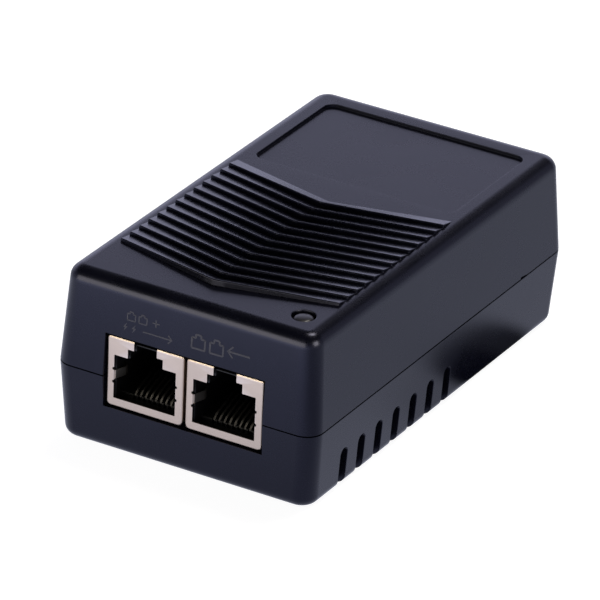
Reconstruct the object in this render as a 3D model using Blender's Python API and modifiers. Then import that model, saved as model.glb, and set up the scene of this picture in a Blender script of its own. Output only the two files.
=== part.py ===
"""PoE injector: a power supply that feeds one Ethernet cable, in a ribbed two-part plastic case.

The underside is centred on the origin and +Z is up. The two RJ45 jacks face -Y and the mains inlet
faces +Y. Sizes are in metres, written as millimetres times MM.
"""

import math

import bmesh
import bpy

MM = 0.001
GAP = 0.3 * MM  # room left between neighbouring pieces

# Case, measured outside at the parting line
CASE_WIDTH = 52.0 * MM
CASE_LENGTH = 90.2 * MM
CASE_HEIGHT = 32.8 * MM
PARTING_Z = 14.5 * MM
TOP_DRAFT = 1.17 * MM  # how far each side leans in over the height of the top cover
BOTTOM_DRAFT = 0.9 * MM
CORNER_RADIUS = 3.4 * MM
RIM_RADIUS = 2.5 * MM  # round edge of the top
BASE_RADIUS = 2.0 * MM  # round edge of the underside
WALL = 2.0 * MM
LIP_HEIGHT = 1.2 * MM  # the bottom cover's lip stands this far up inside the top cover

# Saw-tooth ribs across the top, each a chevron that points forward
RIB_COUNT = 13
RIB_PITCH = 3.03 * MM
RIB_HALF_WIDTH = 21.8 * MM
RIB_FIRST_Y = -36.0 * MM  # the first crest, on the centre line
RIB_SWEEP = 0.25  # how far a crest runs back for each unit out from the centre line
RIB_HEIGHT_MIDDLE = 1.2 * MM
RIB_HEIGHT_END = 0.58 * MM

# Shallow recess for a label, behind the ribs
RECESS_HALF_WIDTH = 20.3 * MM
RECESS_Y = (11.5 * MM, 38.9 * MM)
RECESS_DEPTH = 0.55 * MM
RECESS_RADIUS = 2.0 * MM

# Vent slots low on each side
VENT_COUNT = 7
VENT_PITCH = 6.03 * MM
VENT_FIRST_Y = -33.1 * MM
VENT_WIDTH = 2.4 * MM
VENT_TOP_Z = 7.8 * MM
VENT_REACH = 2.8 * MM  # how far each slot runs in under the case

# RJ45 jacks, side by side in one opening
JACK_WIDTH = 15.3 * MM
JACK_HEIGHT = 13.46 * MM
JACK_DEPTH = 18.0 * MM
JACK_SPACING = 15.83 * MM
JACK_FRONT_Y = -44.35 * MM
JACK_BOTTOM_Z = 8.87 * MM
SHIELD_SHEET = 0.3 * MM
SHIELD_FOLD = 0.45 * MM
JACK_NAMES = ("out", "in")
PLUG_HALF_WIDTH = 6.18 * MM
PLUG_DEPTH = 14.0 * MM
HOUSING_FLOOR = 0.8 * MM  # heights inside the jack are measured from its underside
PLUG_BOTTOM = 1.7 * MM
PLUG_SHOULDER = 10.0 * MM
LATCH_HALF_WIDTH = 3.5 * MM
LATCH_TOP = 11.75 * MM
SLOT_HALF_WIDTH = 2.28 * MM
CONTACT_COUNT = 8
CONTACT_PITCH = 1.016 * MM
CONTACT_RADIUS = 0.2 * MM
CONTACT_BACK = 12.4 * MM  # depths inside the jack are measured from its face

# Mains inlet
INLET_WIDTH = 27.4 * MM
INLET_HEIGHT = 19.8 * MM
INLET_DEPTH = 18.0 * MM
INLET_FACE_Y = 44.3 * MM
INLET_BOTTOM_Z = 9.2 * MM
INLET_CAVITY_WIDTH = 24.4 * MM
INLET_CAVITY_HEIGHT = 16.6 * MM
INLET_CAVITY_DEPTH = 15.0 * MM
INLET_CHAMFER = 4.5 * MM
PIN_SPACING = 7.0 * MM
PIN_WIDTH = 2.0 * MM
PIN_HEIGHT = 4.0 * MM

# Circuit board
BOARD_TOP_Z = 8.57 * MM
BOARD_THICKNESS = 1.6 * MM
BOARD_HALF_WIDTH = 22.4 * MM
BOARD_HALF_LENGTH = 41.4 * MM
SHEET_Z = 4.9 * MM
SHEET_THICKNESS = 0.4 * MM
SEAT_Z = BOARD_TOP_Z + GAP  # where the components stand

# Status light
LIGHT_X = 18.65 * MM
LIGHT_Y = -37.05 * MM
LIGHT_HOLE_RADIUS = 2.15 * MM
LIGHT_LENS_RADIUS = 1.8 * MM
LIGHT_STEM_RADIUS = 1.3 * MM
LIGHT_SINK = 0.45 * MM  # how far the lens lies below the top

# Case screws, driven up through both covers and the board
SCREW_PLACES = [(x * MM, y * MM) for y in (-21.5, 36.0) for x in (-19.6, 19.6)]
SCREW_RADIUS = 1.1 * MM
SCREW_HEAD_RADIUS = 2.2 * MM
SCREW_HEAD_Z = (0.9 * MM, 2.3 * MM)
SCREW_TIP_Z = 19.0 * MM
PILLAR_RADIUS = 2.9 * MM
COUNTERBORE_DEPTH = 2.6 * MM

FACE_FRONT = (math.pi / 2, 0, 0)  # turns a flat outline so that it is drawn in X and Z
FACE_SIDE = (math.pi / 2, 0, math.pi / 2)  # turns a flat outline so that it is drawn in Y and Z


def clear_scene():
    for obj in list(bpy.data.objects):
        bpy.data.objects.remove(obj, do_unlink=True)


def new_collection(name):
    collection = bpy.data.collections.new(name)
    bpy.context.scene.collection.children.link(collection)
    return collection


clear_scene()
PARTS = new_collection("poe_injector")
CUTTERS = new_collection("cutters")
ASSEMBLY = bpy.data.objects.new("assembly", None)
PARTS.objects.link(ASSEMBLY)


# Materials


def material(name, colour, roughness, metallic=0.0, transmission=0.0):
    made = bpy.data.materials.new(name)
    made.use_nodes = True
    shader = made.node_tree.nodes["Principled BSDF"]
    shader.inputs["Base Color"].default_value = (*colour, 1.0)
    shader.inputs["Roughness"].default_value = roughness
    shader.inputs["Metallic"].default_value = metallic
    shader.inputs["Transmission Weight"].default_value = transmission
    made.diffuse_color = (*colour, 1.0)
    return made


CASE_PLASTIC = material("case_plastic", (0.022, 0.023, 0.034), 0.35)
BLACK_PLASTIC = material("black_plastic", (0.012, 0.012, 0.013), 0.5)
LIGHT_PIPE = material("light_pipe", (0.6, 0.61, 0.62), 0.2, transmission=0.8)
NICKEL = material("nickel", (0.68, 0.62, 0.6), 0.35, metallic=1.0)
GOLD = material("gold", (0.8, 0.6, 0.28), 0.3, metallic=1.0)
BRASS = material("brass", (0.75, 0.62, 0.4), 0.3, metallic=1.0)
STEEL = material("steel", (0.5, 0.5, 0.5), 0.4, metallic=1.0)
ALUMINIUM = material("aluminium", (0.7, 0.7, 0.72), 0.4, metallic=1.0)
BOARD_GREEN = material("board_green", (0.02, 0.12, 0.05), 0.4)
FERRITE = material("ferrite", (0.03, 0.03, 0.032), 0.7)
COPPER = material("copper", (0.6, 0.25, 0.1), 0.35, metallic=1.0)
YELLOW_TAPE = material("yellow_tape", (0.75, 0.55, 0.08), 0.5)
CAPACITOR_SLEEVE = material("capacitor_sleeve", (0.02, 0.03, 0.06), 0.35)
CAPACITOR_YELLOW = material("capacitor_yellow", (0.7, 0.5, 0.1), 0.5)
CERAMIC_BLUE = material("ceramic_blue", (0.06, 0.15, 0.4), 0.5)
FUSE_CERAMIC = material("fuse_ceramic", (0.75, 0.73, 0.68), 0.5)
EPOXY_BLACK = material("epoxy_black", (0.015, 0.015, 0.016), 0.45)
FIBRE_PAPER = material("fibre_paper", (0.35, 0.33, 0.28), 0.8)
LED_WHITE = material("led_white", (0.8, 0.8, 0.75), 0.4)


# Modelling helpers. A piece with no material is a helper: it cuts or joins others and isn't a part.


def add_object(name, data, finish, location=(0, 0, 0), rotation=(0, 0, 0)):
    obj = bpy.data.objects.new(name, data)
    obj.location = location
    obj.rotation_euler = rotation
    if finish is None:
        CUTTERS.objects.link(obj)
        obj.hide_render = True
        obj.display_type = "WIRE"
        return obj
    PARTS.objects.link(obj)
    obj.parent = ASSEMBLY
    if not data.materials:
        data.materials.append(finish)
    return obj


def mesh_object(name, bm, finish, location=(0, 0, 0), rotation=(0, 0, 0), smooth=False):
    bmesh.ops.recalc_face_normals(bm, faces=bm.faces)
    mesh = bpy.data.meshes.new(name)
    bm.to_mesh(mesh)
    bm.free()
    if smooth:
        mesh.shade_smooth()
        mesh.set_sharp_from_angle(angle=math.radians(35))
    return add_object(name, mesh, finish, location, rotation)


def bevel_edges(bm, edges, radius, segments):
    bmesh.ops.bevel(
        bm, geom=edges, offset=radius, segments=segments, profile=0.5, affect="EDGES", clamp_overlap=True
    )


def box(name, low, high, finish=None, chamfer=0.0):
    """A box between two corners, with its edges chamfered if asked."""
    size = [b - a for a, b in zip(low, high)]
    bm = bmesh.new()
    bmesh.ops.create_cube(bm, size=1.0)
    bmesh.ops.scale(bm, vec=size, verts=bm.verts)
    if chamfer:
        bevel_edges(bm, bm.edges[:], chamfer, 1)
    centre = [(a + b) / 2 for a, b in zip(low, high)]
    return mesh_object(name, bm, finish, centre)


def boxes(name, corners):
    """Helper boxes that don't meet, as one object: corners is a list of (low, high)."""
    bm = bmesh.new()
    for low, high in corners:
        verts = bmesh.ops.create_cube(bm, size=1.0)["verts"]
        bmesh.ops.scale(bm, vec=[b - a for a, b in zip(low, high)], verts=verts)
        bmesh.ops.translate(bm, vec=[(a + b) / 2 for a, b in zip(low, high)], verts=verts)
    return mesh_object(name, bm, None)


def rods(name, places, radius, low_z, high_z, segments=20):
    """Helper upright cylinders that don't meet, as one object: places is a list of (x, y)."""
    bm = bmesh.new()
    for x, y in places:
        made = bmesh.ops.create_cone(
            bm, cap_ends=True, segments=segments, radius1=radius, radius2=radius, depth=high_z - low_z
        )
        bmesh.ops.translate(bm, vec=(x, y, (low_z + high_z) / 2), verts=made["verts"])
    return mesh_object(name, bm, None)


def rounded_box(name, width, length, near_z, far_z, draft, corner_radius, rim_radius, segments, finish=None):
    """A box that leans in towards far_z, with round upright corners and a round rim at far_z."""
    bm = bmesh.new()
    bmesh.ops.create_cube(bm, size=1.0)
    bmesh.ops.scale(bm, vec=(width, length, far_z - near_z), verts=bm.verts)
    bmesh.ops.translate(bm, vec=(0, 0, (near_z + far_z) / 2), verts=bm.verts)
    middle = (near_z + far_z) / 2
    far_side = 1 if far_z > near_z else -1
    for vert in bm.verts:
        if (vert.co.z - middle) * far_side > 0:
            vert.co.x -= math.copysign(draft, vert.co.x)
            vert.co.y -= math.copysign(draft, vert.co.y)
    height = abs(far_z - near_z)
    upright = [edge for edge in bm.edges if abs(edge.verts[0].co.z - edge.verts[1].co.z) > height / 2]
    bevel_edges(bm, upright, corner_radius, segments)
    if rim_radius:
        rim = [
            edge for edge in bm.edges
            if all((vert.co.z - middle) * far_side > height * 0.49 for vert in edge.verts)
        ]
        bevel_edges(bm, rim, rim_radius, segments)
    return mesh_object(name, bm, finish, smooth=True)


def flat_piece(name, outlines, thickness, finish=None, location=(0, 0, 0), rotation=(0, 0, 0)):
    """One or more flat outlines given a thickness. Each outline is a list of (x, y) points."""
    curve = bpy.data.curves.new(name, "CURVE")
    curve.dimensions = "2D"
    curve.fill_mode = "BOTH"
    curve.extrude = thickness / 2
    for outline in outlines:
        spline = curve.splines.new("POLY")
        spline.points.add(len(outline) - 1)
        for point, (x, y) in zip(spline.points, outline):
            point.co = (x, y, 0, 1)
        spline.use_cyclic_u = True
    drawn = bpy.data.objects.new(name + "_outline", curve)
    PARTS.objects.link(drawn)
    graph = bpy.context.evaluated_depsgraph_get()
    mesh = bpy.data.meshes.new_from_object(drawn.evaluated_get(graph))
    bpy.data.objects.remove(drawn)
    bpy.data.curves.remove(curve)
    bm = bmesh.new()
    bm.from_mesh(mesh)
    bpy.data.meshes.remove(mesh)
    bmesh.ops.remove_doubles(bm, verts=bm.verts, dist=1e-6)
    return mesh_object(name, bm, finish, location, rotation)


def turned(name, profile, steps, finish, location, rotation=(0, 0, 0)):
    """A turned piece: profile is a list of (radius, height) down its outer side, axis to axis."""
    bm = bmesh.new()
    verts = [bm.verts.new((radius, 0, height)) for radius, height in profile]
    for first, second in zip(verts, verts[1:]):
        bm.edges.new((first, second))
    mesh = bpy.data.meshes.new(name)
    bm.to_mesh(mesh)
    bm.free()
    obj = add_object(name, mesh, finish, location, rotation)
    screw = obj.modifiers.new("Turn", "SCREW")
    screw.steps = steps
    screw.render_steps = steps
    screw.use_merge_vertices = True
    screw.merge_threshold = 0.00001
    screw.use_smooth_shade = True
    return obj


def combine(target, helper, operation):
    modifier = target.modifiers.new(helper.name, "BOOLEAN")
    modifier.operation = operation
    modifier.solver = "EXACT"
    modifier.object = helper
    return target


def cut(target, helper):
    return combine(target, helper, "DIFFERENCE")


def join(target, helper):
    return combine(target, helper, "UNION")


# Case


def rib_block():
    """The 13 ribs as one half body, mirrored: upright front walls with ramps that fall to the back."""
    buried = CASE_HEIGHT - 1.0 * MM
    foot = CASE_HEIGHT + 0.02 * MM
    bm = bmesh.new()
    rows = [(0.0, buried)]
    for index in range(RIB_COUNT):
        rows.append((index * RIB_PITCH, foot))
        rows.append((index * RIB_PITCH, None))
    rows.append((RIB_COUNT * RIB_PITCH, foot))
    rows.append((RIB_COUNT * RIB_PITCH, buried))

    def section(x, height):
        back = RIB_FIRST_Y + RIB_SWEEP * x
        return [bm.verts.new((x, back + y, CASE_HEIGHT + height if z is None else z)) for y, z in rows]

    middle = section(0.0, RIB_HEIGHT_MIDDLE)
    end = section(RIB_HALF_WIDTH, RIB_HEIGHT_END)
    for index in range(len(rows)):
        after = (index + 1) % len(rows)
        bm.faces.new((middle[index], middle[after], end[after], end[index]))
    bm.faces.new(end)
    helper = mesh_object("join_ribs", bm, None)
    mirror = helper.modifiers.new("Mirror", "MIRROR")
    mirror.use_clip = True
    mirror.merge_threshold = 0.00001
    return helper


def vent_cutters():
    """Arched slots through both side walls and the edge of the underside."""
    radius = VENT_WIDTH / 2
    arch_z = VENT_TOP_Z - radius
    outlines = []
    for index in range(VENT_COUNT):
        y = VENT_FIRST_Y + index * VENT_PITCH
        arch = [
            (y + radius * math.cos(math.pi * step / 6), arch_z + radius * math.sin(math.pi * step / 6))
            for step in range(7)
        ]
        outlines.append([*arch, (y - radius, -1 * MM), (y + radius, -1 * MM)])
    reach = CASE_WIDTH / 2 - VENT_REACH
    thickness = VENT_REACH + 1 * MM
    middle = reach + thickness / 2
    return [
        flat_piece(f"cut_vents_{name}", outlines, thickness, None, (x, 0, 0), FACE_SIDE)
        for name, x in (("left", -middle), ("right", middle))
    ]


def port_cutter():
    half_width = JACK_SPACING / 2 + JACK_WIDTH / 2 + 0.55 * MM
    low_z = JACK_BOTTOM_Z - 0.5 * MM
    high_z = JACK_BOTTOM_Z + JACK_HEIGHT + GAP
    return box("cut_ports", (-half_width, -50 * MM, low_z), (half_width, -40 * MM, high_z))


def inlet_cutter():
    half_width = INLET_WIDTH / 2 + GAP
    low_z = INLET_BOTTOM_Z - GAP
    high_z = INLET_BOTTOM_Z + INLET_HEIGHT + GAP
    return box("cut_inlet", (-half_width, 40 * MM, low_z), (half_width, 50 * MM, high_z))


def top_cover(ports, inlet):
    near_z = PARTING_Z + GAP / 2
    cover = rounded_box(
        "top_cover", CASE_WIDTH, CASE_LENGTH, near_z, CASE_HEIGHT, TOP_DRAFT,
        CORNER_RADIUS, RIM_RADIUS, 4, CASE_PLASTIC,
    )
    hollow = rounded_box(
        "cut_top_hollow", CASE_WIDTH - 2 * WALL, CASE_LENGTH - 2 * WALL, near_z - 1 * MM,
        CASE_HEIGHT - WALL, TOP_DRAFT, CORNER_RADIUS - WALL, 0.6 * MM, 2,
    )
    cut(cover, hollow)
    join(cover, rib_block())
    recess = rounded_box(
        "cut_recess", 2 * RECESS_HALF_WIDTH, RECESS_Y[1] - RECESS_Y[0], CASE_HEIGHT + 1 * MM,
        CASE_HEIGHT - RECESS_DEPTH, 0.0, RECESS_RADIUS, 0.0, 3,
    )
    recess.location.y = sum(RECESS_Y) / 2
    cut(cover, recess)
    pillar_top = CASE_HEIGHT - WALL / 2
    join(cover, rods("join_top_pillars", SCREW_PLACES, PILLAR_RADIUS, BOARD_TOP_Z + GAP, pillar_top))
    cut(cover, rods("cut_top_pillars", SCREW_PLACES, SCREW_RADIUS + GAP, 5 * MM, SCREW_TIP_Z + 1 * MM))
    light = (LIGHT_X, LIGHT_Y)
    cut(cover, rods("cut_light", [light], LIGHT_HOLE_RADIUS, 29 * MM, 36 * MM, 28))
    cut(cover, ports)
    cut(cover, inlet)


def bottom_cover(ports, inlet):
    near_z = PARTING_Z - GAP / 2
    cover = rounded_box(
        "bottom_cover", CASE_WIDTH, CASE_LENGTH, near_z, 0.0, BOTTOM_DRAFT,
        CORNER_RADIUS, BASE_RADIUS, 4, CASE_PLASTIC,
    )
    hollow = rounded_box(
        "cut_bottom_hollow", CASE_WIDTH - 2 * WALL, CASE_LENGTH - 2 * WALL, near_z + 1 * MM, WALL,
        BOTTOM_DRAFT, CORNER_RADIUS - WALL, 0.6 * MM, 2,
    )
    cut(cover, hollow)
    lip_base = near_z - 2.5 * MM
    lip_top = PARTING_Z + LIP_HEIGHT
    foot = rounded_box(
        "join_lip_foot", CASE_WIDTH - 3.6 * MM, CASE_LENGTH - 3.6 * MM, lip_base, near_z - 0.1 * MM,
        0.0, CORNER_RADIUS - 1.8 * MM, 0.0, 2,
    )
    lip = rounded_box(
        "join_lip", CASE_WIDTH - 4.8 * MM, CASE_LENGTH - 4.8 * MM, lip_base + 0.5 * MM, lip_top,
        0.0, CORNER_RADIUS - 2.4 * MM, 0.0, 2,
    )
    inside = rounded_box(
        "cut_lip", CASE_WIDTH - 6.2 * MM, CASE_LENGTH - 6.2 * MM, lip_base - 1 * MM, lip_top + 1 * MM,
        0.0, CORNER_RADIUS - 3.1 * MM, 0.0, 1,
    )
    join(cover, foot)
    join(cover, lip)
    cut(cover, inside)
    pillar_top = BOARD_TOP_Z - BOARD_THICKNESS - GAP
    join(cover, rods("join_bottom_pillars", SCREW_PLACES, PILLAR_RADIUS, WALL / 2, pillar_top))
    cut(cover, rods("cut_counterbores", SCREW_PLACES, SCREW_HEAD_RADIUS + GAP, -1 * MM, COUNTERBORE_DEPTH))
    cut(cover, rods("cut_bottom_pillars", SCREW_PLACES, SCREW_RADIUS + GAP, 1 * MM, pillar_top + 1 * MM))
    for helper in (*vent_cutters(), ports, inlet):
        cut(cover, helper)


def case_screws():
    head_low, head_high = SCREW_HEAD_Z
    profile = [
        (0, SCREW_TIP_Z), (0.3 * MM, SCREW_TIP_Z), (SCREW_RADIUS, SCREW_TIP_Z - 2 * MM),
        (SCREW_RADIUS, head_high), (SCREW_HEAD_RADIUS, head_high), (SCREW_HEAD_RADIUS, head_low + 0.5 * MM),
        (SCREW_HEAD_RADIUS - 0.6 * MM, head_low), (0, head_low),
    ]
    arm, tip, root = 1.3 * MM, 0.25 * MM, 0.4 * MM
    cross = [
        (-tip, -arm), (tip, -arm), (root, -root), (arm, -tip), (arm, tip), (root, root),
        (tip, arm), (-tip, arm), (-root, root), (-arm, tip), (-arm, -tip), (-root, -root),
    ]
    for index, (x, y) in enumerate(SCREW_PLACES):
        screw = turned(f"case_screw_{index + 1}", profile, 16, STEEL, (x, y, 0))
        slot = flat_piece(f"cut_screw_{index + 1}", [cross], 1.6 * MM, None, (x, y, head_low))
        cut(screw, slot)


def status_light():
    top = CASE_HEIGHT - LIGHT_SINK
    shoulder = CASE_HEIGHT - WALL - 0.4 * MM
    low = SEAT_Z + 1.2 * MM
    profile = [
        (0, top), (LIGHT_LENS_RADIUS - 0.3 * MM, top), (LIGHT_LENS_RADIUS, top - 0.3 * MM),
        (LIGHT_LENS_RADIUS, shoulder), (LIGHT_STEM_RADIUS, shoulder - 0.6 * MM),
        (LIGHT_STEM_RADIUS, low), (0, low),
    ]
    turned("status_light_pipe", profile, 24, LIGHT_PIPE, (LIGHT_X, LIGHT_Y, 0))
    low_corner = (LIGHT_X - 1.0 * MM, LIGHT_Y - 0.6 * MM, SEAT_Z)
    high_corner = (LIGHT_X + 1.0 * MM, LIGHT_Y + 0.6 * MM, SEAT_Z + 0.8 * MM)
    box("status_led", low_corner, high_corner, LED_WHITE)


# Jacks


def plug_outline(spread, bottom, slot_top):
    """The opening for a plug with its latch on top, in X and Z from the jack's underside."""
    right = [
        (PLUG_HALF_WIDTH - spread, bottom), (PLUG_HALF_WIDTH - spread, PLUG_SHOULDER - spread),
        (LATCH_HALF_WIDTH - spread, PLUG_SHOULDER - spread),
        (LATCH_HALF_WIDTH - spread, LATCH_TOP - spread),
        (SLOT_HALF_WIDTH - spread, LATCH_TOP - spread), (SLOT_HALF_WIDTH - spread, slot_top),
    ]
    return right + [(-x, z) for x, z in reversed(right)]


def jack_shield(name, x):
    low = (x - JACK_WIDTH / 2, JACK_FRONT_Y, JACK_BOTTOM_Z)
    high = (x + JACK_WIDTH / 2, JACK_FRONT_Y + JACK_DEPTH, JACK_BOTTOM_Z + JACK_HEIGHT)
    shield = box(f"jack_shield_{name}", low, high, NICKEL)
    rounding = shield.modifiers.new("Fold", "BEVEL")
    rounding.width = SHIELD_FOLD
    rounding.segments = 2
    rounding.limit_method = "ANGLE"
    inner_low = (low[0] + SHIELD_SHEET, low[1] + SHIELD_SHEET, low[2] - 1 * MM)
    inner_high = (high[0] - SHIELD_SHEET, high[1] - SHIELD_SHEET, high[2] - SHIELD_SHEET)
    cut(shield, box(f"cut_shield_inside_{name}", inner_low, inner_high))
    mouth = [plug_outline(0.0, PLUG_BOTTOM, JACK_HEIGHT + 1 * MM)]
    place = (x, JACK_FRONT_Y, JACK_BOTTOM_Z)
    cut(shield, flat_piece(f"cut_shield_mouth_{name}", mouth, 2 * MM, None, place, FACE_FRONT))


def jack_housing(name, x):
    side = SHIELD_SHEET + GAP
    front_y = JACK_FRONT_Y + side
    low = (x - JACK_WIDTH / 2 + side, front_y, JACK_BOTTOM_Z + GAP)
    high = (x + JACK_WIDTH / 2 - side, JACK_FRONT_Y + JACK_DEPTH - side, JACK_BOTTOM_Z + JACK_HEIGHT - side)
    housing = box(f"jack_housing_{name}", low, high, BLACK_PLASTIC)
    mouth = [plug_outline(0.2 * MM, HOUSING_FLOOR, LATCH_TOP + 0.5 * MM)]
    place = (x, front_y + PLUG_DEPTH / 2 - 0.5 * MM, JACK_BOTTOM_Z)
    depth = PLUG_DEPTH + 1 * MM
    cut(housing, flat_piece(f"cut_housing_mouth_{name}", mouth, depth, None, place, FACE_FRONT))


def contact_curve():
    """One contact wire: forward along the floor of the jack, round a tight bend, then up and back."""
    points = [
        (CONTACT_BACK, 1.2 * MM), (3.5 * MM, 1.2 * MM), (3.1 * MM, 1.4 * MM), (3.2 * MM, 1.75 * MM),
        (4.0 * MM, 2.5 * MM), (9.2 * MM, 4.2 * MM),
    ]
    curve = bpy.data.curves.new("contact", "CURVE")
    curve.dimensions = "3D"
    curve.bevel_depth = CONTACT_RADIUS
    curve.bevel_resolution = 1
    curve.use_fill_caps = True
    spline = curve.splines.new("POLY")
    spline.points.add(len(points) - 1)
    for point, (y, z) in zip(spline.points, points):
        point.co = (0, y, z, 1)
    curve.materials.append(GOLD)
    return curve


def jacks():
    wire = contact_curve()
    for name, side in zip(JACK_NAMES, (-1, 1)):
        x = side * JACK_SPACING / 2
        jack_shield(name, x)
        jack_housing(name, x)
        for index in range(CONTACT_COUNT):
            across = (index - (CONTACT_COUNT - 1) / 2) * CONTACT_PITCH
            place = (x + across, JACK_FRONT_Y, JACK_BOTTOM_Z)
            add_object(f"contact_{name}_{index + 1}", wire, GOLD, place)


# Mains inlet


def inlet_pin(name, x, z):
    """A flat blade that runs back through the housing and turns down to the board."""
    tip_y = INLET_FACE_Y - 4.5 * MM
    heel_y = INLET_FACE_Y - INLET_DEPTH - 2.4 * MM
    low, high = z - PIN_HEIGHT / 2, z + PIN_HEIGHT / 2
    bevel = 0.7 * MM
    outline = [
        (heel_y, SEAT_Z), (heel_y + 1.6 * MM, SEAT_Z), (heel_y + 1.6 * MM, low), (tip_y - bevel, low),
        (tip_y, low + bevel), (tip_y, high - bevel), (tip_y - bevel, high), (heel_y, high),
    ]
    flat_piece(f"inlet_pin_{name}", [outline], PIN_WIDTH, BRASS, (x, 0, 0), FACE_SIDE)


def mains_inlet():
    low = (-INLET_WIDTH / 2, INLET_FACE_Y - INLET_DEPTH, INLET_BOTTOM_Z)
    high = (INLET_WIDTH / 2, INLET_FACE_Y, INLET_BOTTOM_Z + INLET_HEIGHT)
    housing = box("inlet_housing", low, high, BLACK_PLASTIC, 0.4 * MM)
    half, top = INLET_CAVITY_WIDTH / 2, INLET_CAVITY_HEIGHT / 2
    outline = [
        (-half, -top), (half, -top), (half, top - INLET_CHAMFER), (half - INLET_CHAMFER, top),
        (INLET_CHAMFER - half, top), (-half, top - INLET_CHAMFER),
    ]
    middle_z = INLET_BOTTOM_Z + INLET_HEIGHT / 2
    depth = INLET_CAVITY_DEPTH + 1 * MM
    place = (0, INLET_FACE_Y + 1 * MM - depth / 2, middle_z)
    cut(housing, flat_piece("cut_inlet_mouth", [outline], depth, None, place, FACE_FRONT))
    pins = (
        ("line", -PIN_SPACING, middle_z - 2.0 * MM),
        ("earth", 0.0, middle_z + 2.0 * MM),
        ("neutral", PIN_SPACING, middle_z - 2.0 * MM),
    )
    room = 0.15 * MM
    slots = [
        (
            (x - PIN_WIDTH / 2 - room, low[1] - 1 * MM, z - PIN_HEIGHT / 2 - room),
            (x + PIN_WIDTH / 2 + room, low[1] + 5 * MM, z + PIN_HEIGHT / 2 + room),
        )
        for _, x, z in pins
    ]
    cut(housing, boxes("cut_inlet_slots", slots))
    for name, x, z in pins:
        inlet_pin(name, x, z)


# Circuit board and the components on it


def circuit_board():
    low_z = BOARD_TOP_Z - BOARD_THICKNESS
    half = (BOARD_HALF_WIDTH, BOARD_HALF_LENGTH)
    board = box("circuit_board", (-half[0], -half[1], low_z), (half[0], half[1], BOARD_TOP_Z), BOARD_GREEN)
    cut(board, rods("cut_board_holes", SCREW_PLACES, SCREW_RADIUS + 0.5 * MM, 5 * MM, 10 * MM, 16))
    trim = 1.0 * MM
    sheet = box(
        "insulating_sheet", (trim - half[0], trim - half[1], SHEET_Z),
        (half[0] - trim, half[1] - trim, SHEET_Z + SHEET_THICKNESS), FIBRE_PAPER,
    )
    cut(sheet, rods("cut_sheet_holes", SCREW_PLACES, PILLAR_RADIUS + 0.4 * MM, 4 * MM, 7 * MM, 16))


def leads(name, x, y, low_z, high_z, count, pitch, along_x, size=0.7 * MM):
    """Upright helper leads in one row, to be joined to a package."""
    corners = []
    for index in range(count):
        shift = (index - (count - 1) / 2) * pitch
        lead_x = x + shift if along_x else x
        lead_y = y if along_x else y + shift
        low = (lead_x - size / 2, lead_y - size / 2, low_z)
        corners.append((low, (lead_x + size / 2, lead_y + size / 2, high_z)))
    return boxes(f"join_{name}_leads", corners)


def leaded_package(name, x, y, size, lift, count, pitch, finish):
    """An upright package on a row of leads. size is its extent in X, Y and Z; lift is the leads' length."""
    half_x, half_y = size[0] / 2, size[1] / 2
    low = (x - half_x, y - half_y, SEAT_Z + lift)
    body = box(name, low, (x + half_x, y + half_y, SEAT_Z + lift + size[2]), finish, 0.3 * MM)
    row = leads(name, x, y, SEAT_Z, SEAT_Z + lift + 1 * MM, count, pitch, size[0] > size[1])
    join(body, row)


def power_package(name, x, y):
    """A flat three-lead device that stands with its back to a heatsink."""
    leaded_package(name, x, y, (4.2 * MM, 10 * MM, 11 * MM), 3.0 * MM, 3, 2.54 * MM, EPOXY_BLACK)


def chip(name, x, y, size, pins_per_side, pitch, finish):
    """A flat package with a row of feet along each of the two sides that face X."""
    half_x, half_y = size[0] / 2, size[1] / 2
    low = (x - half_x, y - half_y, SEAT_Z + 0.15 * MM)
    body = box(name, low, (x + half_x, y + half_y, SEAT_Z + 0.15 * MM + size[2]), finish, 0.2 * MM)
    corners = []
    for side in (-1, 1):
        for index in range(pins_per_side):
            foot_y = y + (index - (pins_per_side - 1) / 2) * pitch
            inner = x + side * (half_x - 0.5 * MM)
            outer = x + side * (half_x + 0.6 * MM)
            width = pitch * 0.2
            corners.append((
                (min(inner, outer), foot_y - width, SEAT_Z),
                (max(inner, outer), foot_y + width, SEAT_Z + 0.6 * MM),
            ))
    join(body, boxes(f"join_{name}_feet", corners))


def can_capacitor(name, x, y, radius, height):
    crimp = 1.6 * MM
    profile = [
        (0, height), (radius - 0.8 * MM, height), (radius, height - 0.6 * MM), (radius, crimp + 0.8 * MM),
        (radius - 0.4 * MM, crimp + 0.3 * MM), (radius - 0.4 * MM, crimp - 0.3 * MM),
        (radius, crimp - 0.8 * MM), (radius - 0.4 * MM, 0), (0, 0),
    ]
    turned(name, profile, 24, CAPACITOR_SLEEVE, (x, y, SEAT_Z))


def disc_part(name, x, y, radius, thickness, finish):
    """A round disc that stands on edge with its faces towards Y."""
    half = thickness / 2
    profile = [
        (0, half), (radius - 0.8 * MM, half), (radius, half - 0.8 * MM),
        (radius, 0.8 * MM - half), (radius - 0.8 * MM, -half), (0, -half),
    ]
    turned(name, profile, 20, finish, (x, y, SEAT_Z + radius), FACE_FRONT)


def framed_core(name, low, high, windows, finish):
    """A ferrite core: a block with windows cut through it along Y. windows is a list of (low_x, high_x)."""
    core = box(name, low, high, finish)
    yoke = 3.2 * MM
    corners = [
        ((low_x, low[1] - 1 * MM, low[2] + yoke), (high_x, high[1] + 1 * MM, high[2] - yoke))
        for low_x, high_x in windows
    ]
    return cut(core, boxes(f"cut_{name}_windows", corners))


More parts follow.
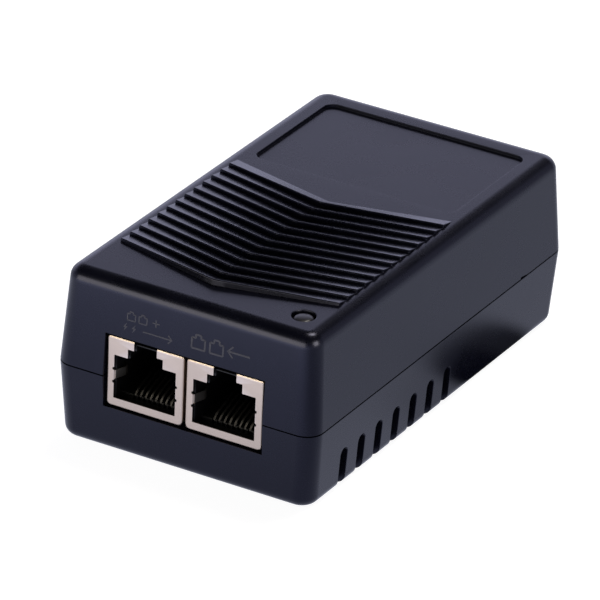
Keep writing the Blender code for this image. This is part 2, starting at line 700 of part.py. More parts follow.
def coil(name, leg_low, leg_high, thickness, low_z, high_z, finish):
    """A winding round an upright leg, given by the leg's corners in X and Y."""
    inner = [(leg_low[axis] - GAP, leg_high[axis] + GAP) for axis in (0, 1)]
    outer = [(low - thickness, high + thickness) for low, high in inner]
    far_corner = (outer[0][1], outer[1][1], high_z)
    body = box(name, (outer[0][0], outer[1][0], low_z), far_corner, finish, 0.5 * MM)
    bore_low = (inner[0][0], inner[1][0], low_z - 1 * MM)
    return cut(body, box(f"cut_{name}_bore", bore_low, (inner[0][1], inner[1][1], high_z + 1 * MM)))


def transformer():
    x, y = 1.0 * MM, -1.5 * MM
    half_width, half_depth, height = 12.5 * MM, 4.0 * MM, 20.0 * MM
    leg = 3.6 * MM
    window = (leg, half_width - 3.4 * MM)
    low = (x - half_width, y - half_depth, SEAT_Z)
    high = (x + half_width, y + half_depth, SEAT_Z + height)
    windows = [(x - window[1], x - window[0]), (x + window[0], x + window[1])]
    framed_core("transformer_core", low, high, windows, FERRITE)
    wound = 4.5 * MM
    leg_low = (x - leg, y - half_depth)
    leg_high = (x + leg, y + half_depth)
    low_z, high_z = SEAT_Z + 3.6 * MM, SEAT_Z + height - 3.6 * MM
    coil("transformer_winding", leg_low, leg_high, wound, low_z, high_z, YELLOW_TAPE)


def mains_choke():
    x, y = -3.0 * MM, 16.2 * MM
    half_width, half_depth, height = 8.0 * MM, 2.0 * MM, 15.0 * MM
    leg = 3.0 * MM
    low = (x - half_width, y - half_depth, SEAT_Z)
    high = (x + half_width, y + half_depth, SEAT_Z + height)
    framed_core("choke_core", low, high, [(x - half_width + leg, x + half_width - leg)], FERRITE)
    for index, side in enumerate((-1, 1)):
        inner = x + side * (half_width - leg)
        outer = x + side * half_width
        leg_low = (min(inner, outer), y - half_depth)
        leg_high = (max(inner, outer), y + half_depth)
        low_z, high_z = SEAT_Z + 3.6 * MM, SEAT_Z + height - 3.6 * MM
        coil(f"choke_coil_{index + 1}", leg_low, leg_high, 2.0 * MM, low_z, high_z, COPPER)


def heatsink(name, side, low_y, high_y, height):
    """A bent plate along one wall of the case, with its top folded in over the device that it cools."""
    plate = 1.6 * MM
    outer = 21.5 * MM
    fold = 4.5 * MM
    outline = [
        (outer, SEAT_Z), (outer, SEAT_Z + height), (outer - fold, SEAT_Z + height),
        (outer - fold, SEAT_Z + height - plate), (outer - plate, SEAT_Z + height - plate),
        (outer - plate, SEAT_Z),
    ]
    place = (0, (low_y + high_y) / 2, 0)
    flat_piece(name, [[(side * x, z) for x, z in outline]], high_y - low_y, ALUMINIUM, place, FACE_FRONT)


def fuse():
    half, radius, cap = 4.0 * MM, 1.6 * MM, 1.9 * MM
    shoulder = half - 1.6 * MM
    profile = [
        (0, half), (cap, half), (cap, shoulder), (radius, shoulder),
        (radius, -shoulder), (cap, -shoulder), (cap, -half), (0, -half),
    ]
    turned("fuse", profile, 20, FUSE_CERAMIC, (-17.7 * MM, 12.6 * MM, SEAT_Z + cap), (0, math.pi / 2, 0))


def coil_drum(name, x, y):
    height, rim, waist = 8.0 * MM, 3.5 * MM, 2.6 * MM
    profile = [
        (0, height), (rim, height), (rim, height - 1.2 * MM), (waist, height - 1.2 * MM),
        (waist, 1.2 * MM), (rim, 1.2 * MM), (rim, 0), (0, 0),
    ]
    turned(name, profile, 20, FERRITE, (x, y, SEAT_Z))


def mains_side():
    fuse()
    disc_part("varistor", -15.6 * MM, 7.2 * MM, 3.8 * MM, 3.0 * MM, CERAMIC_BLUE)
    far_corner = (-13.8 * MM, 22 * MM, SEAT_Z + 12 * MM)
    box("x_capacitor", (-22 * MM, 16 * MM, SEAT_Z), far_corner, CAPACITOR_YELLOW, 0.4 * MM)
    mains_choke()
    size = (13 * MM, 2.6 * MM, 9 * MM)
    leaded_package("bridge_rectifier", 1.0 * MM, 9.4 * MM, size, 2.5 * MM, 4, 3.5 * MM, EPOXY_BLACK)
    can_capacitor("bulk_capacitor", 14.6 * MM, 15.6 * MM, 7.0 * MM, 20 * MM)
    heatsink("primary_heatsink", 1, -9.0 * MM, 6.5 * MM, 17 * MM)
    power_package("switching_transistor", 17.2 * MM, -1.5 * MM)
    chip("controller_chip", 12.2 * MM, -11.4 * MM, (3.8 * MM, 4.6 * MM, 1.5 * MM), 4, 1.0 * MM, EPOXY_BLACK)


def output_side():
    transformer()
    heatsink("secondary_heatsink", -1, -12.0 * MM, 4.6 * MM, 17 * MM)
    power_package("output_diode", -17.2 * MM, -2.4 * MM)
    chip("optocoupler", -10.6 * MM, -9.6 * MM, (4.2 * MM, 4.6 * MM, 3.2 * MM), 2, 2.54 * MM, EPOXY_BLACK)
    disc_part("y_capacitor", 3.6 * MM, -12.0 * MM, 3.9 * MM, 2.6 * MM, CERAMIC_BLUE)
    for index, x in enumerate((3.0 * MM, 11.4 * MM)):
        can_capacitor(f"output_capacitor_{index + 1}", x, -18.2 * MM, 4.0 * MM, 16 * MM)
    coil_drum("output_inductor", 18.6 * MM, -14.2 * MM)
    chip("data_magnetics", -9.4 * MM, -18.6 * MM, (12.4 * MM, 12 * MM, 6 * MM), 8, 1.3 * MM, EPOXY_BLACK)


def main():
    ports = port_cutter()
    inlet = inlet_cutter()
    top_cover(ports, inlet)
    bottom_cover(ports, inlet)
    case_screws()
    status_light()
    jacks()
    mains_inlet()
    circuit_board()
    mains_side()
    output_side()


main()
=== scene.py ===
"""Looks of the PoE injector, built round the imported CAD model.

Shapes are made in millimetres, in the frame of the CAD: the underside is centred on the origin, +Z is
up, the jacks face -Y and the mains inlet faces +Y. piece() scales each finished mesh to metres.
"""

import math

import bmesh
import bpy
from mathutils import Matrix, Vector


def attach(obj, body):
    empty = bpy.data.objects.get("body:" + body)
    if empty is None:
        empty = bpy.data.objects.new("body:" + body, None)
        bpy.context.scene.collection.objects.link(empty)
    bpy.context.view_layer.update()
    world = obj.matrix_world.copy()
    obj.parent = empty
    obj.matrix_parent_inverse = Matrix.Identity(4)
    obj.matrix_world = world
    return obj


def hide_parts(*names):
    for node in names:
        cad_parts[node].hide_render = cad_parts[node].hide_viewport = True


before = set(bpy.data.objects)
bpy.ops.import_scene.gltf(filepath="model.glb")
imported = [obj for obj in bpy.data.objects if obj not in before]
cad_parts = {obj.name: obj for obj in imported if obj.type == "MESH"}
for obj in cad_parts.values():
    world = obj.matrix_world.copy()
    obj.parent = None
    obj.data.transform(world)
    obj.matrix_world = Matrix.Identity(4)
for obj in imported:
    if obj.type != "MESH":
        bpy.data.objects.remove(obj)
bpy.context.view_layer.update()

MM = 0.001

# Case
CASE_WIDTH = 52.0
CASE_LENGTH = 90.2
CASE_HEIGHT = 32.8
PARTING_Z = 14.5
PARTING_GAP = 0.2
TOP_LEAN = 0.0639  # how far a wall leans in for each unit of height
BOTTOM_LEAN = 0.0627
CORNER_RADIUS = 3.4
TOP_RIM = 2.5
BASE_RIM = 2.0
INNER_RIM = 0.6
WALL = 2.0
SEAM_EDGE = 0.12  # rounding of the covers' edges at the parting line
OPENING_GAP = 0.3  # between the case and the jacks or the inlet
OPENING_ROUNDING = 0.18

# Pry notch in the right edge of the top cover: its outline in Y and Z, and its reach in X
NOTCH_OUTLINE = [(28.3, 14.3), (28.3, 14.95), (28.9, 14.92), (30.8, 14.65), (30.8, 14.3)]
NOTCH_REACH = (25.2, 27.0)

# Saw-tooth ribs
RIB_COUNT = 13
RIB_PITCH = 3.03
RIB_HALF_WIDTH = 21.8
RIB_FIRST_Y = -36.0
RIB_SWEEP = 0.25
RIB_MIDDLE = 1.2  # height of the ribs in the middle
RIB_END = 0.58  # and at their ends
RIB_CREST = 0.2  # radius of a crest
RIB_BEND = 0.3  # how softly the chevron turns in the middle
RIB_END_ROUND = 0.15
RIB_FOOT = CASE_HEIGHT + 0.01

# Label recess
RECESS_HALF = (20.3, 13.7)
RECESS_Y = 25.2
RECESS_DEPTH = 0.55
RECESS_RADIUS = 2.0

# Vent slots
VENT_COUNT = 7
VENT_PITCH = 6.03
VENT_FIRST_Y = -33.1
VENT_HALF = 1.2
VENT_ARCH_Z = 6.6  # height of the middle of the round top
VENT_REACH = (23.2, 27.0)  # in X, through the wall and the edge of the underside
VENT_ROUNDING = 0.12

# Jacks
JACK_HALF = 7.65
JACK_HEIGHT = 13.46
JACK_DEPTH = 18.0
JACK_X = 7.915
JACK_Y = -44.35
JACK_Z = 8.87
SHEET = 0.3
FOLD = 0.4  # outer radius of the folds round the shield's face
PORT_HALF = JACK_X + JACK_HALF + OPENING_GAP  # half width of the opening for both jacks
PORT_LOW = JACK_Z - 0.25
PORT_HIGH = JACK_Z + JACK_HEIGHT + OPENING_GAP

# Plug mouth of a jack: half widths, and heights above the jack's underside
MOUTH_HALF = 6.18
MOUTH_TOP = 10.0
LATCH_STEP = (3.5, 11.75)
LATCH_SLOT_HALF = 2.28
NOTCH_ZS = (4.8, 7.3)
HOUSING_HALF = 7.05
TAB_Z = 6.03

# Spring contacts
CONTACT_COUNT = 8
CONTACT_PITCH = 1.016
CONTACT_HALF = (0.21, 0.11)  # half width and half thickness of a wire
COMB_SLOT_HALF = 0.29

# Mains inlet
INLET_HALF = (13.7, 9.9)
INLET_DEPTH = 18.0
INLET_Y = 44.3
INLET_Z = 19.1
INLET_OPENING = (INLET_HALF[0] + OPENING_GAP, INLET_HALF[1] + OPENING_GAP)
INLET_MOUTH = (12.2, 8.3)
INLET_CHAMFER = 4.5
PIN_HALF = (1.0, 2.0)

# Status light
LIGHT_PLACE = (18.65, -37.05)
LENS_TOP = CASE_HEIGHT - 0.42
LENS_DOME = 0.26  # rise of the dome
LENS_DOME_REACH = 1.62
STEM_RADIUS = 1.3
STEM_LOW = 10.07
LIGHT_HOLE_RADIUS = 2.15

# Screws and their pillars
SCREWS = [(x, y) for y in (-21.5, 36.0) for x in (-19.6, 19.6)]
PILLAR_RADIUS = 2.9
TOP_PILLAR_LOW = 8.9
BASE_PILLAR_HIGH = 6.67
BORE_RADIUS = 1.4
COUNTERBORE_RADIUS = 2.5
SCREW_TIP = 19.0
HEAD_LOW = 0.9
HEAD_HIGH = 2.3
THREAD_TURNS = 16
THREAD_PITCH = 0.8

# Printed marks: half widths of their lines, and how far the ink is proud of the wall and sunk in it
THIN_INK = 0.11
BOLD_INK = 0.16
INK_PROUD = 0.025
INK_SUNK = 0.02

# Studio. Patches of the table are (centre, half widths, softness, amount), in millimetres, and lamps
# are (direction, angle of the even core, angle where it ends, colour), in degrees.
STAGE_SIZE = 12.0  # half width of the floor and the table, in metres
TABLE_COLOUR = (0.745, 0.78, 0.96)
TABLE_LIGHT = 0.79
# Patches with a positive amount are painted pools of light; those with a negative amount are painted
# shadows of the case.
TABLE_PAINTED_LIGHT_AND_SHADE = (
    ((-60, -150), (120, 125), 0.6, 0.43),
    ((-60, -430), (330, 290), 0.2, 2.2),
    ((75, -75), (45, 45), 0.5, -0.2),
    ((0, -48), (34, 9), 0.6, -0.13),
    ((28.5, 24.5), (8.5, 12.5), 0.25, -0.72),
    ((28, 8), (8, 14), 0.6, -0.2),
)
SKY_COLOUR = (0.92, 0.93, 1.25)
LAMPS = (
    ((-0.42, -0.88, 0.22), 6, 25, (1.5, 1.4, 1.1)),
    ((0.07, 0.395, 0.916), 4, 13, (17.0, 16.0, 15.0)),
)

# Camera: angles in degrees, distances in millimetres
AZIMUTH = 29.232
ELEVATION = 26.886
ROLL = 2.445
CAMERA_DISTANCE = 1113.66
CAMERA_LEFT = 2.636
CAMERA_DOWN = 1.389
CAMERA_AIM_Z = 16.4
CAMERA_LENS = 379.6
SENSOR_WIDTH = 36.0


# Mesh helpers


def new_object(name, bm):
    bmesh.ops.recalc_face_normals(bm, faces=bm.faces)
    mesh = bpy.data.meshes.new(name)
    bm.to_mesh(mesh)
    bm.free()
    obj = bpy.data.objects.new(name, mesh)
    bpy.context.scene.collection.objects.link(obj)
    return obj


def rounded_rectangle(half_x, half_y, radius, steps=8):
    """The outline of a rectangle with round corners, anticlockwise from the right side."""
    radius = max(radius, 0.01)
    points = []
    for quarter, (sign_x, sign_y) in enumerate(((1, 1), (-1, 1), (-1, -1), (1, -1))):
        for step in range(steps + 1):
            angle = math.pi / 2 * (quarter + step / steps)
            x = sign_x * (half_x - radius) + radius * math.cos(angle)
            points.append((x, sign_y * (half_y - radius) + radius * math.sin(angle)))
    return points


def rounded_outline(points, radius, steps=3):
    """A closed outline with each corner rounded. radius is one number or one for each corner."""
    radii = radius if isinstance(radius, list) else [radius] * len(points)
    rounded = []
    for index, point in enumerate(points):
        here = Vector(point)
        before = Vector(points[index - 1]) - here
        after = Vector(points[(index + 1) % len(points)]) - here
        reach = radii[index]
        if reach <= 0:
            rounded.append(tuple(here))
            continue
        start = here + before.normalized() * min(reach, before.length * 0.45)
        end = here + after.normalized() * min(reach, after.length * 0.45)
        for step in range(steps + 1):
            t = step / steps
            rounded.append(tuple(start * (1 - t) ** 2 + here * 2 * t * (1 - t) + end * t * t))
    return rounded


def smooth_path(points, steps=4):
    """An open path through the middles of its inner bends."""
    path = [Vector(points[0])]
    for before, here, after in zip(points, points[1:], points[2:]):
        here = Vector(here)
        before = Vector(before) - here
        after = Vector(after) - here
        reach = min(before.length, after.length) * 0.48
        start = here + before.normalized() * reach
        end = here + after.normalized() * reach
        for step in range(steps + 1):
            t = step / steps
            path.append(start * (1 - t) ** 2 + here * 2 * t * (1 - t) + end * t * t)
    path.append(Vector(points[-1]))
    return path


def skin(name, rings, looped=False):
    """A closed body through rings of as many points each. Its ends are filled, or joined if looped."""
    bm = bmesh.new()
    loops = [[bm.verts.new(point) for point in ring] for ring in rings]
    following = loops[1:] + loops[:1] if looped else loops[1:]
    for first, second in zip(loops, following):
        for index in range(len(first)):
            after = (index + 1) % len(first)
            bm.faces.new((first[index], first[after], second[after], second[index]))
    if not looped:
        bm.faces.new(loops[0])
        bm.faces.new(loops[-1])
    return new_object(name, bm)


def level(outline, z):
    """An outline laid flat at one height."""
    return [(x, y, z) for x, y in outline]


def upright(outline, y, place=(0.0, 0.0)):
    """An outline stood up facing -Y at one depth, drawn from a place in X and Z."""
    return [(place[0] + x, y, place[1] + z) for x, z in outline]


def box(name, low, high, rounding=0.0, steps=3):
    """A box between two corners with all its edges rounded."""
    bm = bmesh.new()
    bmesh.ops.create_cube(bm, size=1.0)
    bmesh.ops.scale(bm, vec=[b - a for a, b in zip(low, high)], verts=bm.verts)
    bmesh.ops.translate(bm, vec=[(a + b) / 2 for a, b in zip(low, high)], verts=bm.verts)
    if rounding:
        bmesh.ops.bevel(
            bm, geom=bm.edges[:], offset=rounding, segments=steps, profile=0.5, affect="EDGES"
        )
    return new_object(name, bm)


def lathe(name, profile, place, segments=48):
    """A turned body: profile is a list of (radius, z) from axis to axis, place is its X and Y."""
    bm = bmesh.new()
    rows = []
    for radius, z in profile:
        count = 1 if radius < 1e-6 else segments
        angles = [2 * math.pi * index / count for index in range(count)]
        rows.append([
            bm.verts.new((place[0] + radius * math.cos(a), place[1] + radius * math.sin(a), z))
            for a in angles
        ])
    for first, second in zip(rows, rows[1:]):
        for index in range(segments):
            after = (index + 1) % segments
            corners = [first[index % len(first)], first[after % len(first)]]
            corners += [second[after % len(second)], second[index % len(second)]]
            bm.faces.new(dict.fromkeys(corners))
    return new_object(name, bm)


def arc(centre, radius, first, last, steps):
    """Points on an arc, in degrees."""
    turns = [math.radians(first + (last - first) * step / steps) for step in range(steps + 1)]
    return [
        (centre[0] + radius * math.cos(turn), centre[1] + radius * math.sin(turn)) for turn in turns
    ]


def combine(target, helper, operation):
    """Adds or cuts a helper body, which is used up."""
    modifier = target.modifiers.new("Combine", "BOOLEAN")
    modifier.operation = operation
    modifier.solver = "EXACT"
    modifier.object = helper
    graph = bpy.context.evaluated_depsgraph_get()
    mesh = bpy.data.meshes.new_from_object(target.evaluated_get(graph))
    target.modifiers.clear()
    target.data = mesh
    bpy.data.objects.remove(helper)
    return target


def cut(target, *helpers):
    for helper in helpers:
        combine(target, helper, "DIFFERENCE")
    return target


def join(target, *helpers):
    for helper in helpers:
        combine(target, helper, "UNION")
    return target


def soften(obj, chosen, width, segments=2):
    """Rounds the sharp edges whose middles are chosen."""
    bm = bmesh.new()
    bm.from_mesh(obj.data)
    edges = []
    for edge in bm.edges:
        middle = (edge.verts[0].co + edge.verts[1].co) / 2
        if len(edge.link_faces) == 2 and edge.calc_face_angle() > 0.9 and chosen(middle):
            edges.append(edge)
    bmesh.ops.bevel(
        bm, geom=edges, offset=width, segments=segments, profile=0.5, affect="EDGES",
        clamp_overlap=False,
    )
    bm.to_mesh(obj.data)
    bm.free()
    return obj


def piece(obj, finish, nodes=(), sharp=38, inside=None, is_inside=None):
    """Finishes a mesh: metres, material, shading, body, and the CAD nodes that it stands for.

    inside is a second finish for the faces whose middles are_inside picks, in millimetres; the jack
    shields use a darker copy of their nickel there as painted shade.
    """
    mesh = obj.data
    mesh.materials.clear()
    mesh.materials.append(finish)
    if inside:
        mesh.materials.append(inside)
    for polygon in mesh.polygons:
        polygon.material_index = int(bool(inside and is_inside(polygon.center)))
    mesh.transform(Matrix.Scale(MM, 4))
    mesh.shade_smooth()
    mesh.set_sharp_from_angle(angle=math.radians(sharp))
    normals = obj.modifiers.new("Normals", "WEIGHTED_NORMAL")
    normals.keep_sharp = True
    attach(obj, "root")
    if nodes:
        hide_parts(*nodes)
    return obj


# Materials


class Nodes:
    """Short ways to add and link shader nodes."""

    def __init__(self, tree):
        self.tree = tree

    def add(self, kind, settings=None, **inputs):
        node = self.tree.nodes.new(kind)
        for key, value in (settings or {}).items():
            setattr(node, key, value)
        for key, value in inputs.items():
            self.feed(node.inputs[key.replace("_", " ")], value)
        return node

    def feed(self, socket, value):
        if isinstance(value, bpy.types.NodeSocket):
            self.tree.links.new(value, socket)
        else:
            socket.default_value = value

    def noise(self, vector, scale, detail=3.0, roughness=0.55):
        node = self.add("ShaderNodeTexNoise", Scale=scale, Detail=detail, Roughness=roughness)
        self.feed(node.inputs["Vector"], vector)
        return node.outputs["Fac"]

    def remap(self, value, low, high, to_low, to_high, kind="LINEAR"):
        """A value carried from one range to another, and held at its ends."""
        node = self.add("ShaderNodeMapRange", {"interpolation_type": kind})
        names = ("Value", "From Min", "From Max", "To Min", "To Max")
        for name, given in zip(names, (value, low, high, to_low, to_high)):
            self.feed(node.inputs[name], given)
        return node.outputs["Result"]

    def math(self, operation, first, second=0.0):
        node = self.add("ShaderNodeMath", {"operation": operation})
        self.feed(node.inputs[0], first)
        self.feed(node.inputs[1], second)
        return node.outputs[0]

    def mix(self, factor, first, second):
        node = self.add("ShaderNodeMix", {"data_type": "RGBA"})
        self.feed(node.inputs[0], factor)
        self.feed(node.inputs[6], first)
        self.feed(node.inputs[7], second)
        return node.outputs[2]

    def scaled(self, amount, colour):
        """A colour times an amount."""
        node = self.add("ShaderNodeVectorMath", {"operation": "SCALE"})
        node.inputs[0].default_value = colour
        self.feed(node.inputs["Scale"], amount)
        return node.outputs[0]

    def stretch(self, vector, scale):
        node = self.add("ShaderNodeMapping", Scale=scale)
        self.feed(node.inputs["Vector"], vector)
        return node.outputs["Vector"]


def rgba(colour):
    return (*colour, 1.0)


def finish(name, colour, roughness, metallic=0.0, ior=1.45, spread=0.08, tone=0.12, grain=2500.0,
           bump=0.15, depth=4e-6, worn=None, wear=0.3, scratch=0.25, stretch=(1, 1, 1), tint=None,
           transmission=0.0):
    """A procedural finish. Grain and blotches vary the roughness and tone, and edges wear lighter.

    spread and tone are how far the roughness and the brightness wander. grain is the scale of the fine
    bump, bump its strength and depth its height. stretch draws the grain out along an axis. worn is the
    colour of rubbed edges and wear how much of it shows. scratch is how strongly scuffs dull the gloss.
    """
    made = bpy.data.materials.new("looks_" + name)
    made["slot"] = name
    made.use_nodes = True
    nodes = Nodes(made.node_tree)
    shader = made.node_tree.nodes["Principled BSDF"]
    place = nodes.add("ShaderNodeTexCoord").outputs["Object"]
    blotch = nodes.noise(place, 90.0, 4.0)
    fine = nodes.noise(nodes.stretch(place, stretch), grain, 2.0)
    scuff = nodes.noise(nodes.stretch(place, (60.0, 900.0, 500.0)), 1.0, 5.0, 0.65)
    scratched = nodes.remap(scuff, 0.66, 0.74, 0.0, scratch)
    pointed = nodes.add("ShaderNodeNewGeometry").outputs["Pointiness"]
    edge = nodes.remap(pointed, 0.54, 0.62, 0.0, wear)
    rubbed = nodes.math("MULTIPLY", edge, nodes.remap(blotch, 0.35, 0.65, 0.2, 1.0))
    low = rgba([channel * (1 - tone) for channel in colour])
    high = rgba([min(1.0, channel * (1 + tone)) for channel in colour])
    worn = rgba(worn or [min(1.0, channel * 1.5 + 0.01) for channel in colour])
    base = nodes.mix(nodes.remap(blotch, 0.3, 0.7, 0.0, 1.0), low, high)
    base = nodes.mix(rubbed, base, worn)
    nodes.feed(shader.inputs["Base Color"], base)
    rough = nodes.remap(blotch, 0.25, 0.75, roughness - spread, roughness + spread)
    rough = nodes.math("ADD", rough, nodes.remap(fine, 0.3, 0.7, -0.3 * spread, 0.3 * spread))
    rough = nodes.math("ADD", rough, nodes.math("MULTIPLY", scratched, 0.35))
    nodes.feed(shader.inputs["Roughness"], rough)
    height = nodes.math("SUBTRACT", fine, nodes.math("MULTIPLY", scratched, 0.6))
    relief = nodes.add("ShaderNodeBump", Strength=bump, Distance=depth, Height=height)
    nodes.feed(shader.inputs["Normal"], relief.outputs["Normal"])
    shader.inputs["Metallic"].default_value = metallic
    shader.inputs["IOR"].default_value = ior
    shader.inputs["Transmission Weight"].default_value = transmission
    if tint:
        shader.inputs["Specular Tint"].default_value = rgba(tint)
    return made


CASE_PLASTIC = finish(
    "case_plastic", (0.0028, 0.003, 0.0065), 0.27, ior=1.4, spread=0.025, tone=0.2, grain=3500.0,
    bump=0.02, depth=2e-6, worn=(0.006, 0.0065, 0.01), wear=0.1, scratch=0.04, tint=(0.6, 0.62, 0.85),
)
BLACK_PLASTIC = finish(
    "black_plastic", (0.003, 0.003, 0.0035), 0.42, ior=1.35, spread=0.06, grain=3000.0, bump=0.15,
    scratch=0.12,
)
LIGHT_PIPE = finish(
    "light_pipe", (0.016, 0.015, 0.017), 0.36, spread=0.08, tone=0.3, grain=900.0, bump=0.25,
    scratch=0.1,
)
NICKEL = finish(
    "nickel", (0.56, 0.462, 0.376), 0.36, metallic=1.0, spread=0.05, tone=0.03, grain=2200.0, bump=0.2,
    stretch=(0.15, 1.0, 1.0), worn=(0.8, 0.72, 0.69), wear=0.5, scratch=0.2,
)
# A darker copy of the nickel for the shield's inner faces and spring tabs: painted shade of the jack's
# cavity.
NICKEL_PAINTED_SHADE = finish(
    "nickel", (0.3, 0.285, 0.25), 0.4, metallic=1.0, spread=0.05, tone=0.08, grain=2200.0, bump=0.2,
    scratch=0.2,
)
# The contacts' gold is darkened to a near-black grey: painted shade of the jack's dark cavity, not the
# plating's colour.
GOLD_IN_PAINTED_SHADE = finish("gold", (0.06, 0.057, 0.054), 0.42, metallic=1.0, tone=0.1, bump=0.08, scratch=0.2)
BRASS = finish("brass", (0.72, 0.62, 0.43), 0.28, metallic=1.0, tone=0.06, bump=0.12, scratch=0.4)
STEEL = finish("steel", (0.42, 0.42, 0.43), 0.38, metallic=1.0, tone=0.08, bump=0.2, scratch=0.4)
ALUMINIUM = finish(
    "aluminium", (0.7, 0.7, 0.72), 0.4, metallic=1.0, tone=0.05, stretch=(1.0, 0.08, 1.0), scratch=0.4
)
BOARD_GREEN = finish("board_green", (0.015, 0.1, 0.045), 0.35, tone=0.15, grain=1400.0, bump=0.3)
FERRITE = finish("ferrite", (0.03, 0.03, 0.033), 0.7, tone=0.2, grain=3800.0, bump=0.5, scratch=0.4)
COPPER = finish(
    "copper", (0.6, 0.23, 0.09), 0.28, metallic=1.0, tone=0.1, stretch=(0.05, 0.05, 1.4), bump=0.6,
    depth=3e-5, grain=1500.0,
)
YELLOW_TAPE = finish("yellow_tape", (0.75, 0.52, 0.06), 0.4, tone=0.08, stretch=(0.3, 0.3, 1.0))
CAPACITOR_SLEEVE = finish("capacitor_sleeve", (0.012, 0.02, 0.05), 0.3, tone=0.1, scratch=0.3)
CAPACITOR_YELLOW = finish("capacitor_yellow", (0.68, 0.46, 0.08), 0.45, tone=0.06, bump=0.25)
CERAMIC_BLUE = finish("ceramic_blue", (0.03, 0.12, 0.36), 0.4, tone=0.12, bump=0.4, grain=900.0)
FUSE_CERAMIC = finish("fuse_ceramic", (0.72, 0.7, 0.64), 0.5, tone=0.05, bump=0.3)
EPOXY_BLACK = finish("epoxy_black", (0.014, 0.014, 0.015), 0.5, tone=0.15, bump=0.4, grain=4200.0)
FIBRE_PAPER = finish(
    "fibre_paper", (0.34, 0.32, 0.26), 0.85, tone=0.12, grain=1200.0, bump=0.5, stretch=(0.4, 1.0, 1.0)
)
LED_WHITE = finish("led_white", (0.8, 0.78, 0.66), 0.35, tone=0.03, transmission=0.2)
PRINT_INK = finish(
    "print_ink", (0.066, 0.065, 0.074), 0.55, ior=1.3, spread=0.1, tone=0.1, grain=5000.0, bump=0.1,
    tint=(0.6, 0.62, 0.85),
)


# Case covers


def leaning_rows(lean, rise, rim, rim_steps=10):
    """(inset, rise, corner inset) from the start of the round rim of a leaning wall to its flat end."""
    angle = math.atan(lean)
    centre_rise = rise - rim
    centre_inset = lean * centre_rise + rim / math.cos(angle)
    turns = [angle + (math.pi / 2 - angle) * step / rim_steps for step in range(rim_steps + 1)]
    rows = [(centre_inset - rim * math.cos(turn), centre_rise + rim * math.sin(turn)) for turn in turns]
    first = rows[0][0]
    return [(inset, up, inset - first) for inset, up in rows]


def cover_rings(rows, offset, side):
    """Rings round the case from rows of (inset, rise, corner inset), all of them offset inwards.

    side is 1 for the top cover, which rises from the parting line, and -1 for the bottom one.
    """
    rings = []
    for inset, up, corner in rows:
        half_x = CASE_WIDTH / 2 - offset - inset
        half_y = CASE_LENGTH / 2 - offset - inset
        outline = rounded_rectangle(half_x, half_y, CORNER_RADIUS - offset - corner)
        rings.append(level(outline, PARTING_Z + side * up))
    return rings


def cover_shell(name, lean, rise, rim, side):
    """A hollow cover with its walls leaning in from the parting line."""
    near = PARTING_GAP / 2
    outer = leaning_rows(lean, rise, rim)
    support = outer[0][1] - 0.3
    flat = outer[-1]
    outer = [
        (SEAM_EDGE, near, 0.0), (SEAM_EDGE * 0.3, near + SEAM_EDGE * 0.3, 0.0),
        (lean * (near + SEAM_EDGE), near + SEAM_EDGE, 0.0), (lean * support, support, 0.0),
        *outer, (flat[0] + 0.25, flat[1], flat[2] + 0.25),
    ]
    inner = leaning_rows(lean, rise - WALL, INNER_RIM, 3)
    inner = [(lean * near, near, 0.0), *inner]
    rings = cover_rings(inner[::-1], WALL, side) + cover_rings(outer, 0.0, side)
    return skin(name, rings)


def rib_block():
    """The ribs: upright front walls with round crests, and ramps that fall to the back."""
    buried = CASE_HEIGHT - 1.0
    stations = [
        (RIB_HALF_WIDTH - RIB_END_ROUND + RIB_END_ROUND * math.cos(math.radians(turn)),
         RIB_END_ROUND * (1 - math.sin(math.radians(turn))))
        for turn in (0, 30, 60, 90)
    ]
    stations += [(x, 0.0) for x in (21, 18, 15, 12, 9, 7, 5, 4, 3, 2.3, 1.7, 1.2, 0.8, 0.5, 0.25)]
    stations = stations + [(0.0, 0.0)] + [(-x, drop) for x, drop in stations[::-1]]

    def section(x, drop):
        """The ribs cut across at one X, with everything above their foot lowered by drop."""
        height = RIB_MIDDLE + (RIB_END - RIB_MIDDLE) * abs(x) / RIB_HALF_WIDTH
        first_y = RIB_FIRST_Y + RIB_SWEEP * math.sqrt(x * x + RIB_BEND ** 2)
        last_y = first_y + RIB_COUNT * RIB_PITCH
        fall = math.atan2(height, RIB_PITCH - 0.2)
        centre_up = height - RIB_CREST * (1 + math.sin(fall)) / math.cos(fall)
        drawn = [(first_y - 0.07, buried)]
        for index in range(RIB_COUNT):
            y = first_y + index * RIB_PITCH
            crest = arc((y + RIB_CREST, centre_up), RIB_CREST, 180, 90 - math.degrees(fall), 5)
            drawn += [(y - 0.07, RIB_FOOT), (y - 0.04, RIB_FOOT + 0.1)]
            drawn += [(at, RIB_FOOT + up) for at, up in crest]
            drawn += [(y + RIB_PITCH - 0.3, RIB_FOOT + 0.07), (y + RIB_PITCH - 0.18, RIB_FOOT + 0.015)]
        drawn += [(last_y, RIB_FOOT), (last_y, buried)]
        return [(x, y, max(z - drop, RIB_FOOT) if z > RIB_FOOT else z) for y, z in drawn]

    return skin("ribs", [section(x, drop) for x, drop in stations])


def seam_notch():
    """A helper for the pry notch."""
    return skin("notch", [[(x, y, z) for y, z in NOTCH_OUTLINE] for x in NOTCH_REACH])


def port_cutter():
    return box("ports", (-PORT_HALF, -50, PORT_LOW), (PORT_HALF, -40, PORT_HIGH))


def inlet_cutter():
    half, up = INLET_OPENING
    return box("inlet", (-half, 40, INLET_Z - up), (half, 50, INLET_Z + up))


